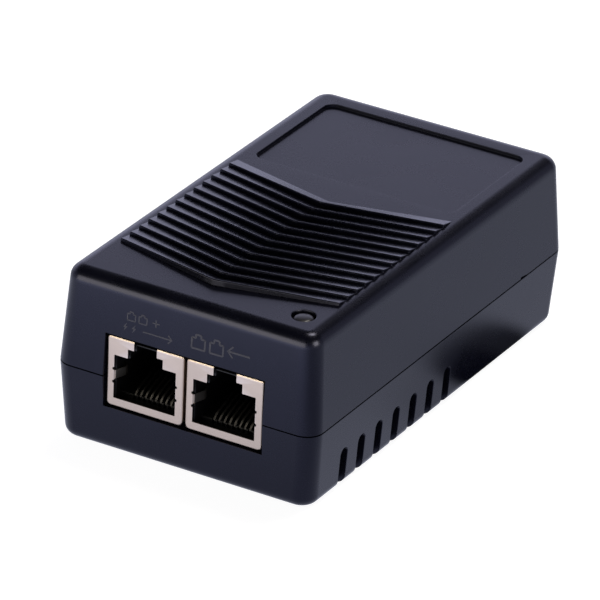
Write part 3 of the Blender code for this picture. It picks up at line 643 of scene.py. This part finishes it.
def on_openings(point):
    """Whether a point lies on the outer edge of the jack or inlet opening."""
    near_wall = abs(point.y) > CASE_LENGTH / 2 - 0.07 * abs(point.z - PARTING_Z) - 0.1
    if point.y < 0:
        in_height = PORT_LOW - 0.01 < point.z < PORT_HIGH + 0.01
        return near_wall and in_height and abs(point.x) < PORT_HALF + 0.01
    in_height = abs(point.z - INLET_Z) < INLET_OPENING[1] + 0.01
    return near_wall and in_height and abs(point.x) < INLET_OPENING[0] + 0.01


def screw_rods(name, radius, low, high):
    """Four upright rods at the screws, as one helper."""
    profile = [(0.0, low), (radius, low), (radius, high), (0.0, high)]
    rods = [lathe(name, profile, place, 24) for place in SCREWS]
    return join(*rods)


def top_cover():
    top = CASE_HEIGHT
    cover = cover_shell("top_cover_shell", TOP_LEAN, CASE_HEIGHT - PARTING_Z, TOP_RIM, 1)
    join(cover, rib_block())
    floor = top - RECESS_DEPTH
    rows = [
        (-0.1, floor), (-0.03, floor + 0.03), (0.0, floor + 0.1), (0.0, top - 0.14),
        (0.04, top - 0.04), (0.14, top), (0.14, top + 1.0),
    ]
    rings = []
    for grow, z in rows:
        outline = rounded_rectangle(RECESS_HALF[0] + grow, RECESS_HALF[1] + grow, RECESS_RADIUS + grow)
        rings.append(level([(x, y + RECESS_Y) for x, y in outline], z))
    cut(cover, skin("recess", rings))
    hole = [
        (0.0, 29.0), (LIGHT_HOLE_RADIUS, 29.0), (LIGHT_HOLE_RADIUS, top - 0.2), (2.2, top - 0.06),
        (2.34, top), (2.34, top + 1), (0.0, top + 1),
    ]
    cut(cover, lathe("light_hole", hole, LIGHT_PLACE, 64))
    join(cover, screw_rods("pillars", PILLAR_RADIUS, TOP_PILLAR_LOW, top - 1.0))
    cut(cover, screw_rods("bores", BORE_RADIUS, 5.0, 20.0))
    cut(cover, port_cutter(), inlet_cutter(), seam_notch())
    soften(cover, on_openings, OPENING_ROUNDING)
    piece(cover, CASE_PLASTIC, ["top_cover"])


def vent_cutters():
    """Arched slots through both side walls and the edge of the underside."""
    slots = []
    for side in (-1, 1):
        for index in range(VENT_COUNT):
            y = VENT_FIRST_Y + index * VENT_PITCH
            arch = arc((y, VENT_ARCH_Z), VENT_HALF, 0, 180, 16)
            outline = [(y + VENT_HALF, -1.0)] + arch + [(y - VENT_HALF, -1.0)]
            slots.append(skin("vent", [[(side * x, at, z) for at, z in outline] for x in VENT_REACH]))
    return join(*slots)


def on_vents(point):
    """Whether a point lies on the outer edge of a vent slot."""
    half_pitch = VENT_PITCH / 2
    across = abs((point.y - VENT_FIRST_Y + half_pitch) % VENT_PITCH - half_pitch)
    lean = CASE_WIDTH / 2 - BOTTOM_LEAN * (PARTING_Z - point.z)
    in_wall = abs(point.x) > lean - 0.1 and 2.3 < point.z < VENT_ARCH_Z + VENT_HALF + 0.1
    return -35 < point.y < 5 and in_wall and across < VENT_HALF + 0.05


def bottom_cover():
    cover = cover_shell("bottom_cover_shell", BOTTOM_LEAN, PARTING_Z, BASE_RIM, -1)
    lip_top = PARTING_Z + 1.15
    lip = [
        (3.06, 11.8), (2.0, 11.0), (2.0, 13.2), (2.3, 14.2), (2.3, PARTING_Z + 1.0), (2.45, lip_top),
        (2.9, lip_top), (3.06, PARTING_Z + 1.0),
    ]
    rings = []
    for inset, z in lip:
        half_x, half_y = CASE_WIDTH / 2 - inset, CASE_LENGTH / 2 - inset
        rings.append(level(rounded_rectangle(half_x, half_y, CORNER_RADIUS - inset), z))
    join(cover, skin("lip", rings, looped=True))
    join(cover, screw_rods("pillars", PILLAR_RADIUS, 1.0, BASE_PILLAR_HIGH))
    cut(cover, screw_rods("counterbores", COUNTERBORE_RADIUS, -1.0, 2.6))
    cut(cover, screw_rods("bores", BORE_RADIUS, 1.0, 8.0))
    cut(cover, vent_cutters(), port_cutter(), inlet_cutter())
    soften(cover, on_openings, OPENING_ROUNDING)
    soften(cover, on_vents, VENT_ROUNDING)
    piece(cover, CASE_PLASTIC, ["bottom_cover"])


# Jacks


def plug_mouth(inset, bottom, top, notched):
    """The opening for a plug, with its latch step and slot, in X and Z from the jack's middle and base.

    inset is how far inside the opening of the shield it lies, and notched adds the small square
    notches in the sides of the shield's opening.
    """
    half = MOUTH_HALF - inset
    body_top = MOUTH_TOP - inset
    step_half, step_top = (value - inset for value in LATCH_STEP)
    slot_half = LATCH_SLOT_HALF - inset
    right = [(half, bottom)]
    for z in NOTCH_ZS if notched else ():
        right += [(half, z - 0.25), (half + 0.3, z - 0.25), (half + 0.3, z + 0.25), (half, z + 0.25)]
    right += [
        (half, body_top), (step_half, body_top), (step_half, step_top), (slot_half, step_top),
        (slot_half, top),
    ]
    return right + [(-x, z) for x, z in right[::-1]]


def strip(name, path, across, thick):
    """A flat strip along a path. across is half its width as a vector, thick half its thickness."""
    rings = []
    for index, point in enumerate(path):
        before = path[max(index - 1, 0)]
        after = path[min(index + 1, len(path) - 1)]
        normal = (after - before).cross(across).normalized() * thick
        soft = across * 0.8
        rings.append([
            point + across + normal * 0.6, point + soft + normal, point - soft + normal,
            point - across + normal * 0.6, point - across - normal * 0.6, point - soft - normal,
            point + soft - normal, point + across - normal * 0.6,
        ])
    return skin(name, rings)


def jack_shield(name, x):
    """Folded sheet-metal shield with a stepped mouth and a spring tab on each side."""
    centre = (x, JACK_Z + JACK_HEIGHT / 2)

    def outline(inset):
        half_x = JACK_HALF - inset
        half_z = JACK_HEIGHT / 2 - inset
        corners = [(-half_x, -half_z), (half_x, -half_z), (half_x, half_z), (-half_x, half_z)]
        return rounded_outline(corners, [reach - inset for reach in (1.05, 1.05, 0.6, 0.6)], 4)

    turns = [math.radians(degrees) for degrees in (0, 22, 45, 67, 90)]
    rows = [(FOLD * (1 - math.sin(turn)), FOLD * (1 - math.cos(turn))) for turn in turns]
    rows += [(0.0, 0.7), (0.0, JACK_DEPTH - 0.3), (0.1, JACK_DEPTH - 0.1), (0.3, JACK_DEPTH)]
    rings = [upright(outline(inset), JACK_Y + deep, centre) for inset, deep in rows]
    shield = skin(f"shield_{name}", rings)
    inner_x = JACK_HALF - SHEET
    low = (x - inner_x, JACK_Y + SHEET, JACK_Z - 2)
    high = (x + inner_x, JACK_Y + JACK_DEPTH - SHEET, JACK_Z + JACK_HEIGHT - SHEET)
    cut(shield, box("inside", low, high, 0.15, 2))
    mouth = rounded_outline(plug_mouth(0.0, 1.7, JACK_HEIGHT + 1, True), 0.12, 2)
    place = (x, JACK_Z)
    cut(shield, skin("mouth", [upright(mouth, JACK_Y + deep, place) for deep in (-1.0, 1.0)]))
    for side in (-1, 1):
        bends = [(6.3, 0.16), (6.1, 0.4), (5.85, 1.2), (5.35, 2.8), (5.6, 3.4)]
        path = smooth_path([(x + side * at, JACK_Y + deep, JACK_Z + TAB_Z) for at, deep in bends])
        join(shield, strip("tab", path, Vector((0, 0, 0.85)), 0.12))
    # The inner faces and the spring tabs take the darker nickel as painted shade.
    piece(
        shield, NICKEL, [f"jack_shield_{name}"], inside=NICKEL_PAINTED_SHADE,
        is_inside=lambda middle: middle.y > JACK_Y + 0.33 and abs(middle.x - x) < JACK_HALF - 0.2,
    )


def contact_places(x):
    """The middles of the contacts of a jack, in X."""
    return [x + (index - (CONTACT_COUNT - 1) / 2) * CONTACT_PITCH for index in range(CONTACT_COUNT)]


def jack_housing(name, x):
    """Moulded insert with the plug's cavity, and a comb that keeps the contact wires apart."""
    low = (x - HOUSING_HALF, JACK_Y + 0.6, JACK_Z + 0.3)
    high = (x + HOUSING_HALF, JACK_Y + JACK_DEPTH - 0.6, JACK_Z + JACK_HEIGHT - 0.6)
    housing = box(f"housing_{name}", low, high, 0.15, 2)
    place = (x, JACK_Z)
    mouth = rounded_outline(plug_mouth(0.2, 0.8, 12.65, False), 0.1, 2)
    cut(housing, skin("mouth", [upright(mouth, JACK_Y + deep, place) for deep in (-0.5, 14.6)]))
    comb = [(2.75, 0.6), (2.75, 1.6), (2.9, 1.78), (4.2, 1.78), (12.0, 1.78), (12.0, 0.6)]
    rings = [[(x + at, JACK_Y + deep, JACK_Z + z) for deep, z in comb] for at in (-6.1, 6.1)]
    join(housing, skin("comb", rings))
    for at in contact_places(x):
        low = (at - COMB_SLOT_HALF, JACK_Y + 2.5, JACK_Z + 0.9)
        cut(housing, box("slot", low, (at + COMB_SLOT_HALF, JACK_Y + 12.9, JACK_Z + 2.0)))
    piece(housing, BLACK_PLASTIC, [f"jack_housing_{name}"])


def contacts(name, x):
    """Flat gold-plated wires, painted near-black as shade: forward along the floor, round a tight bend,
    then up and back.
    """
    bends = [(12.4, 1.2), (3.9, 1.2), (3.15, 1.25), (3.1, 1.6), (4.0, 2.45), (9.2, 4.2)]
    half, thick = CONTACT_HALF
    for number, at in enumerate(contact_places(x), 1):
        path = smooth_path([(at, JACK_Y + deep, JACK_Z + z) for deep, z in bends])
        wire = strip(f"wire_{name}_{number}", path, Vector((half, 0, 0)), thick)
        piece(wire, GOLD_IN_PAINTED_SHADE, [f"contact_{name}_{number}"])


# Printed marks above the jacks


def stroke(points, half):
    """The outline of a thick open line with square ends."""
    path = [Vector(point) for point in points]
    left, right = [], []
    for index, point in enumerate(path):
        before = path[max(index - 1, 0)]
        after = path[min(index + 1, len(path) - 1)]
        ahead = (after - before).normalized()
        side = Vector((-ahead.y, ahead.x)) * half
        left.append(tuple(point + side))
        right.append(tuple(point - side))
    return left + right[::-1]


def mark(name, outlines):
    """Thin ink on the leaning front wall. Outlines are in X and Z, in millimetres."""
    bm = bmesh.new()
    for outline in outlines:
        front, back = ([
            bm.verts.new((x, -CASE_LENGTH / 2 + TOP_LEAN * (z - PARTING_Z) - proud, z))
            for x, z in outline
        ] for proud in (INK_PROUD, -INK_SUNK))
        bm.faces.new(front)
        bm.faces.new(back[::-1])
        for index in range(len(front)):
            after = (index + 1) % len(front)
            bm.faces.new((front[index], front[after], back[after], back[index]))
    piece(new_object(name, bm), PRINT_INK)


def arrow(x, z, length, height, way, ink):
    """A line with a head at its end. way is 1 to the right or -1 to the left, ink half its width."""
    tip = x + way * length / 2
    tail = x - way * length / 2
    head = height * 0.5
    return [
        stroke([(tail, z), (tip - way * 0.1, z)], ink),
        stroke([(tip - way * head, z + head), (tip, z), (tip - way * head, z - head)], ink),
    ]


def plug_sign(x, z, size, ink):
    """A network socket: a frame with a step."""
    half = size / 2
    frame_line = [
        (x - half, z - half), (x - half, z + half * 0.5), (x - half * 0.4, z + half * 0.5),
        (x - half * 0.4, z + half), (x + half * 0.4, z + half), (x + half * 0.4, z + half * 0.5),
        (x + half, z + half * 0.5), (x + half, z - half), (x - half, z - half),
    ]
    return [stroke([first, second], ink) for first, second in zip(frame_line, frame_line[1:])]


def bolt_sign(x, z, size):
    """A lightning bolt."""
    half = size / 2
    return [[
        (x + half * 0.35, z + half), (x - half * 0.5, z - half * 0.1), (x - half * 0.05, z - half * 0.1),
        (x - half * 0.35, z - half), (x + half * 0.5, z + half * 0.15),
        (x + half * 0.05, z + half * 0.15),
    ]]


def port_marks():
    """Sockets, a plus, bolts and an arrow over the output; sockets and an arrow over the input."""
    upper, lower = 27.1, 24.9
    plus = [stroke([(-6.7, upper), (-5.3, upper)], THIN_INK)]
    plus += [stroke([(-6.0, upper - 0.7), (-6.0, upper + 0.7)], THIN_INK)]
    sockets = plug_sign(-10.9, upper, 1.6, THIN_INK) + plug_sign(-8.6, upper, 1.6, THIN_INK)
    bolts = bolt_sign(-12.0, lower, 1.7) + bolt_sign(-10.3, lower, 1.7)
    mark("port_mark_out", sockets + plus + bolts + arrow(-5.6, lower, 5.8, 1.5, 1, THIN_INK))
    sockets = plug_sign(2.5, 26.1, 2.6, BOLD_INK) + plug_sign(6.1, 26.1, 2.6, BOLD_INK)
    mark("port_mark_in", sockets + arrow(10.5, 26.1, 4.4, 2.1, -1, BOLD_INK))


# Mains inlet


def inlet():
    """Three-pole inlet: a block with an eight-cornered mouth, and a blade and a leg for each pole."""
    place = (0, INLET_Z)
    rows = [(0.4, 0.0), (0.12, 0.12), (0.0, 0.4), (0.0, INLET_DEPTH - 0.3), (0.3, INLET_DEPTH)]
    rings = []
    for inset, deep in rows:
        outline = rounded_rectangle(INLET_HALF[0] - inset, INLET_HALF[1] - inset, 0.9 - inset, 5)
        rings.append(upright(outline, INLET_Y - deep, place))
    housing = skin("inlet_block", rings)
    half, up = INLET_MOUTH
    chamfer = INLET_CHAMFER
    corners = [
        (-half, -up), (half, -up), (half, up - chamfer), (half - chamfer, up), (chamfer - half, up),
        (-half, up - chamfer),
    ]

    def mouth(grow):
        outline = [(x * (1 + grow / half), z * (1 + grow / up)) for x, z in corners]
        return rounded_outline(outline, [1.0, 1.0, 0.7, 0.7, 0.7, 0.7], 5)

    rows = [(0.35, -1.0), (0.35, 0.0), (0.1, 0.1), (0.0, 0.35), (0.0, 14.8), (-0.2, 15.0)]
    cut(housing, skin("mouth", [upright(mouth(grow), INLET_Y - deep, place) for grow, deep in rows]))
    pins = (
        ("line", -7.0, INLET_Z - 2.0), ("earth", 0.0, INLET_Z + 2.0), ("neutral", 7.0, INLET_Z - 2.0),
    )
    pin_x, pin_z = PIN_HALF
    back = INLET_Y - INLET_DEPTH
    for _, x, z in pins:
        low = (x - pin_x - 0.15, back - 1, z - pin_z - 0.15)
        cut(housing, box("slot", low, (x + pin_x + 0.15, back + 5, z + pin_z + 0.15)))
    piece(housing, BLACK_PLASTIC, ["inlet_housing"])
    tip, tail = INLET_Y - 4.5, INLET_Y - 20.4
    for name, x, z in pins:
        blade = box(f"blade_{name}", (x - pin_x, tail, z - pin_z), (x + pin_x, tip, z + pin_z))
        soften(blade, lambda point: point.y > tip - 0.1, 0.55, 4)
        leg = box("leg", (x - 0.99, tail, 8.87), (x + 0.99, tail + 1.6, z), 0.1, 2)
        join(blade, leg)
        piece(blade, BRASS, [f"inlet_pin_{name}"])


# Status light and screws


def status_light():
    """A lens with a shallow dome, on a stem that leads the light up from the board."""
    profile = []
    for radius in (0.0, 0.5, 0.9, 1.2, 1.45, 1.6):
        rise = LENS_DOME * math.sqrt(max(0.0, 1 - (radius / LENS_DOME_REACH) ** 2))
        profile.append((radius, LENS_TOP + rise))
    profile += [(1.72, LENS_TOP - 0.07), (1.79, LENS_TOP - 0.2), (1.8, 30.5), (1.75, 30.4)]
    profile += [(STEM_RADIUS, 29.8), (STEM_RADIUS, STEM_LOW), (0.0, STEM_LOW)]
    piece(lathe("lens", profile, LIGHT_PLACE, 64), LIGHT_PIPE, ["status_light_pipe"])


def case_screws():
    """Pan-head screws with a cross recess and a cut thread."""
    profile = [(0.0, SCREW_TIP), (0.3, SCREW_TIP)]
    for index in range(THREAD_TURNS):
        z = SCREW_TIP - 1.6 - index * THREAD_PITCH
        crest = 0.75 + min(index, 2) * 0.17
        root = crest - 0.22
        profile += [(root, z + 0.42), (crest, z + 0.05), (crest, z - 0.05), (root, z - 0.3)]
    profile += [(0.85, HEAD_HIGH + 0.3), (1.1, HEAD_HIGH), (2.1, HEAD_HIGH), (2.2, HEAD_HIGH - 0.12)]
    profile += [(2.2, HEAD_LOW + 0.6), (2.08, HEAD_LOW + 0.3), (1.75, HEAD_LOW + 0.08)]
    profile += [(1.3, HEAD_LOW), (0.0, HEAD_LOW)]
    cross = [
        (-0.25, -1.3), (0.25, -1.3), (0.4, -0.4), (1.3, -0.25), (1.3, 0.25), (0.4, 0.4),
        (0.25, 1.3), (-0.25, 1.3), (-0.4, 0.4), (-1.3, 0.25), (-1.3, -0.25), (-0.4, -0.4),
    ]
    for number, (x, y) in enumerate(SCREWS, 1):
        screw = lathe(f"screw_{number}", profile, (x, y), 32)
        rings = [
            level([(x + at * size, y + up * size) for at, up in cross], z)
            for size, z in ((1.05, HEAD_LOW - 1.0), (1.05, HEAD_LOW), (0.75, HEAD_LOW + 0.8))
        ]
        cut(screw, skin("cross", rings))
        piece(screw, STEEL, [f"case_screw_{number}"])


# Board and components keep their CAD shapes


def component_finishes():
    finishes = {
        "circuit_board": BOARD_GREEN, "insulating_sheet": FIBRE_PAPER, "fuse": FUSE_CERAMIC,
        "varistor": CERAMIC_BLUE, "y_capacitor": CERAMIC_BLUE, "x_capacitor": CAPACITOR_YELLOW,
        "choke_core": FERRITE, "transformer_core": FERRITE, "output_inductor": FERRITE,
        "choke_coil_1": COPPER, "choke_coil_2": COPPER, "transformer_winding": YELLOW_TAPE,
        "bridge_rectifier": EPOXY_BLACK, "switching_transistor": EPOXY_BLACK,
        "output_diode": EPOXY_BLACK, "controller_chip": EPOXY_BLACK, "optocoupler": EPOXY_BLACK,
        "data_magnetics": EPOXY_BLACK,
        "bulk_capacitor": CAPACITOR_SLEEVE, "output_capacitor_1": CAPACITOR_SLEEVE,
        "output_capacitor_2": CAPACITOR_SLEEVE, "primary_heatsink": ALUMINIUM,
        "secondary_heatsink": ALUMINIUM, "status_led": LED_WHITE,
    }
    for name, made in finishes.items():
        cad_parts[name].data.materials.clear()
        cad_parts[name].data.materials.append(made)


# Studio


def stage_plane(name, z, size):
    """A level plane of the stage, with its material's nodes."""
    bm = bmesh.new()
    bmesh.ops.create_grid(bm, x_segments=1, y_segments=1, size=size)
    mesh = bpy.data.meshes.new(name)
    bm.to_mesh(mesh)
    bm.free()
    plane = bpy.data.objects.new(name, mesh)
    plane.location.z = z
    bpy.context.scene.collection.objects.link(plane)
    made = bpy.data.materials.new(name)
    made.use_nodes = True
    mesh.materials.append(made)
    return plane, Nodes(made.node_tree)


def glow_in_reflections(plane, nodes, strength, colour):
    """Turns a plane of the stage into a lamp that only reflections see."""
    nodes.tree.nodes.remove(nodes.tree.nodes["Principled BSDF"])
    glow = nodes.add("ShaderNodeEmission", Strength=strength, Color=rgba(colour))
    surface = nodes.tree.nodes["Material Output"].inputs["Surface"]
    nodes.feed(surface, glow.outputs[0])
    plane.visible_camera = False
    plane.visible_diffuse = False
    plane.visible_transmission = False
    plane.visible_shadow = False


def studio_floor():
    floor, nodes = stage_plane("floor", 0.0, STAGE_SIZE)
    shader = nodes.tree.nodes["Principled BSDF"]
    place = nodes.add("ShaderNodeTexCoord").outputs["Object"]
    tone = nodes.remap(nodes.noise(place, 3.0), 0.3, 0.7, 0.0, 1.0)
    grey = nodes.mix(tone, rgba((0.3, 0.3, 0.3)), rgba((0.31, 0.31, 0.31)))
    nodes.feed(shader.inputs["Base Color"], grey)
    shader.inputs["Roughness"].default_value = 0.9
    shader.inputs["Specular IOR Level"].default_value = 0.0
    shader.inputs["Emission Color"].default_value = rgba((1.0, 1.0, 1.0))
    shader.inputs["Emission Strength"].default_value = 0.95
    floor.visible_glossy = False


def painted_patch(nodes, place, centre, radius, soft, amount):
    """A soft oval of painted light on the table, in millimetres, painted shade if amount is negative:
    amount inside it, nothing outside.
    """
    shifted = nodes.add("ShaderNodeVectorMath", {"operation": "SUBTRACT"})
    nodes.feed(shifted.inputs[0], place)
    shifted.inputs[1].default_value = (*[value * MM for value in centre], 0.0)
    scaled = nodes.stretch(shifted.outputs[0], (1000 / radius[0], 1000 / radius[1], 1.0))
    length = nodes.add("ShaderNodeVectorMath", {"operation": "LENGTH"})
    nodes.feed(length.inputs[0], scaled)
    return nodes.remap(length.outputs["Value"], 1.0 - soft, 1.0 + soft, amount, 0.0, "SMOOTHSTEP")


def reflected_table():
    """What the case mirrors from below: a glowing table with painted light from the front left and a
    painted shadow of the case.
    """
    table, nodes = stage_plane("reflected_table", -0.0004, STAGE_SIZE)
    place = nodes.add("ShaderNodeTexCoord").outputs["Object"]
    first, *others = TABLE_PAINTED_LIGHT_AND_SHADE
    light = painted_patch(nodes, place, *first)
    for patch in others:
        light = nodes.math("ADD", light, painted_patch(nodes, place, *patch))
    light = nodes.math("MAXIMUM", nodes.math("ADD", light, TABLE_LIGHT), 0.0)
    glow_in_reflections(table, nodes, light, TABLE_COLOUR)


def card(name, place, half, turn, strength, colour):
    """A small bright card near the case, in millimetres. Only reflections see it."""
    plane, nodes = stage_plane(name, 0.0, MM)
    plane.location = Vector(place) * MM
    plane.scale = (*half, 1.0)
    plane.rotation_mode = "QUATERNION"
    plane.rotation_quaternion = turn
    glow_in_reflections(plane, nodes, strength, colour)


def near_cards():
    """A card off the front right corner and a strip before the front edge, for the highlights there."""
    corner = Vector((24.0, -43.0, 30.0))
    way = Vector((0.927, -0.073, 0.368))
    turn = way.to_track_quat("Z", "Y")
    card("corner_card", corner + way * 20.0, (5.0, 5.0), turn, 11.0, (1.0, 0.93, 0.8))
    turn = Vector((0.0, -1.0, 0.0)).to_track_quat("Z", "Y")
    card("front_strip", (-3.0, -52.7, 33.4), (29.0, 3.1), turn, 5.8, (1.0, 0.93, 0.78))


def studio_world():
    """Soft light painted by direction: a bright screen low behind, a dim one low in front, and lamps."""
    world = bpy.data.worlds.new("studio")
    bpy.context.scene.world = world
    world.use_nodes = True
    nodes = Nodes(world.node_tree)
    background = world.node_tree.nodes["Background"]
    direction = nodes.add("ShaderNodeTexCoord").outputs["Generated"]
    x, y, z = nodes.add("ShaderNodeSeparateXYZ", Vector=direction).outputs
    screen = nodes.remap(z, 0.41, 0.52, 1.24, 0.03, "SMOOTHSTEP")
    screen = nodes.math("MULTIPLY", screen, nodes.remap(y, -0.2, 0.4, 0.0, 1.0, "SMOOTHSTEP"))
    screen = nodes.math("MULTIPLY", screen, nodes.remap(x, -0.35, 0.35, 1.0, 0.3, "SMOOTHSTEP"))
    in_front = nodes.remap(y, -0.2, 0.2, 1.0, 0.0)
    front = nodes.math("MULTIPLY", in_front, nodes.remap(z, 0.1, 0.5, 0.54, 0.015))
    light = nodes.scaled(nodes.math("ADD", screen, front), SKY_COLOUR)
    for way, core, edge, colour in LAMPS:
        toward = nodes.add("ShaderNodeVectorMath", {"operation": "DOT_PRODUCT"})
        nodes.feed(toward.inputs[0], direction)
        toward.inputs[1].default_value = Vector(way).normalized()
        low, high = math.cos(math.radians(edge)), math.cos(math.radians(core))
        lamp = nodes.remap(toward.outputs["Value"], low, high, 0.0, 1.0, "SMOOTHSTEP")
        lit = nodes.add("ShaderNodeVectorMath", {"operation": "ADD"})
        nodes.feed(lit.inputs[0], light)
        nodes.feed(lit.inputs[1], nodes.scaled(lamp, colour))
        light = lit.outputs[0]
    nodes.feed(background.inputs["Color"], light)


def camera():
    azimuth, elevation, roll = (math.radians(angle) for angle in (AZIMUTH, ELEVATION, ROLL))
    ahead = Vector((
        -math.sin(azimuth) * math.cos(elevation), math.cos(azimuth) * math.cos(elevation),
        -math.sin(elevation),
    ))
    level_right = Vector((math.cos(azimuth), math.sin(azimuth), 0))
    level_up = level_right.cross(ahead)
    right = level_right * math.cos(roll) + level_up * math.sin(roll)
    up = level_up * math.cos(roll) - level_right * math.sin(roll)
    aim = Vector((0, 0, CAMERA_AIM_Z))
    eye = aim - ahead * CAMERA_DISTANCE - right * CAMERA_LEFT - up * CAMERA_DOWN
    data = bpy.data.cameras.new("camera")
    data.lens = CAMERA_LENS
    data.sensor_width = SENSOR_WIDTH
    data.clip_start = 0.05
    data.clip_end = 100.0
    obj = bpy.data.objects.new("camera", data)
    bpy.context.scene.collection.objects.link(obj)
    turn = Matrix((right, up, -ahead)).transposed().to_4x4()
    obj.matrix_world = Matrix.Translation(eye * MM) @ turn
    bpy.context.scene.camera = obj


top_cover()
bottom_cover()
for port, port_x in (("out", -JACK_X), ("in", JACK_X)):
    jack_shield(port, port_x)
    jack_housing(port, port_x)
    contacts(port, port_x)
port_marks()
inlet()
status_light()
case_screws()
component_finishes()
studio_floor()
reflected_table()
near_cards()
studio_world()
camera()
bpy.context.scene.view_settings.view_transform = "Standard"
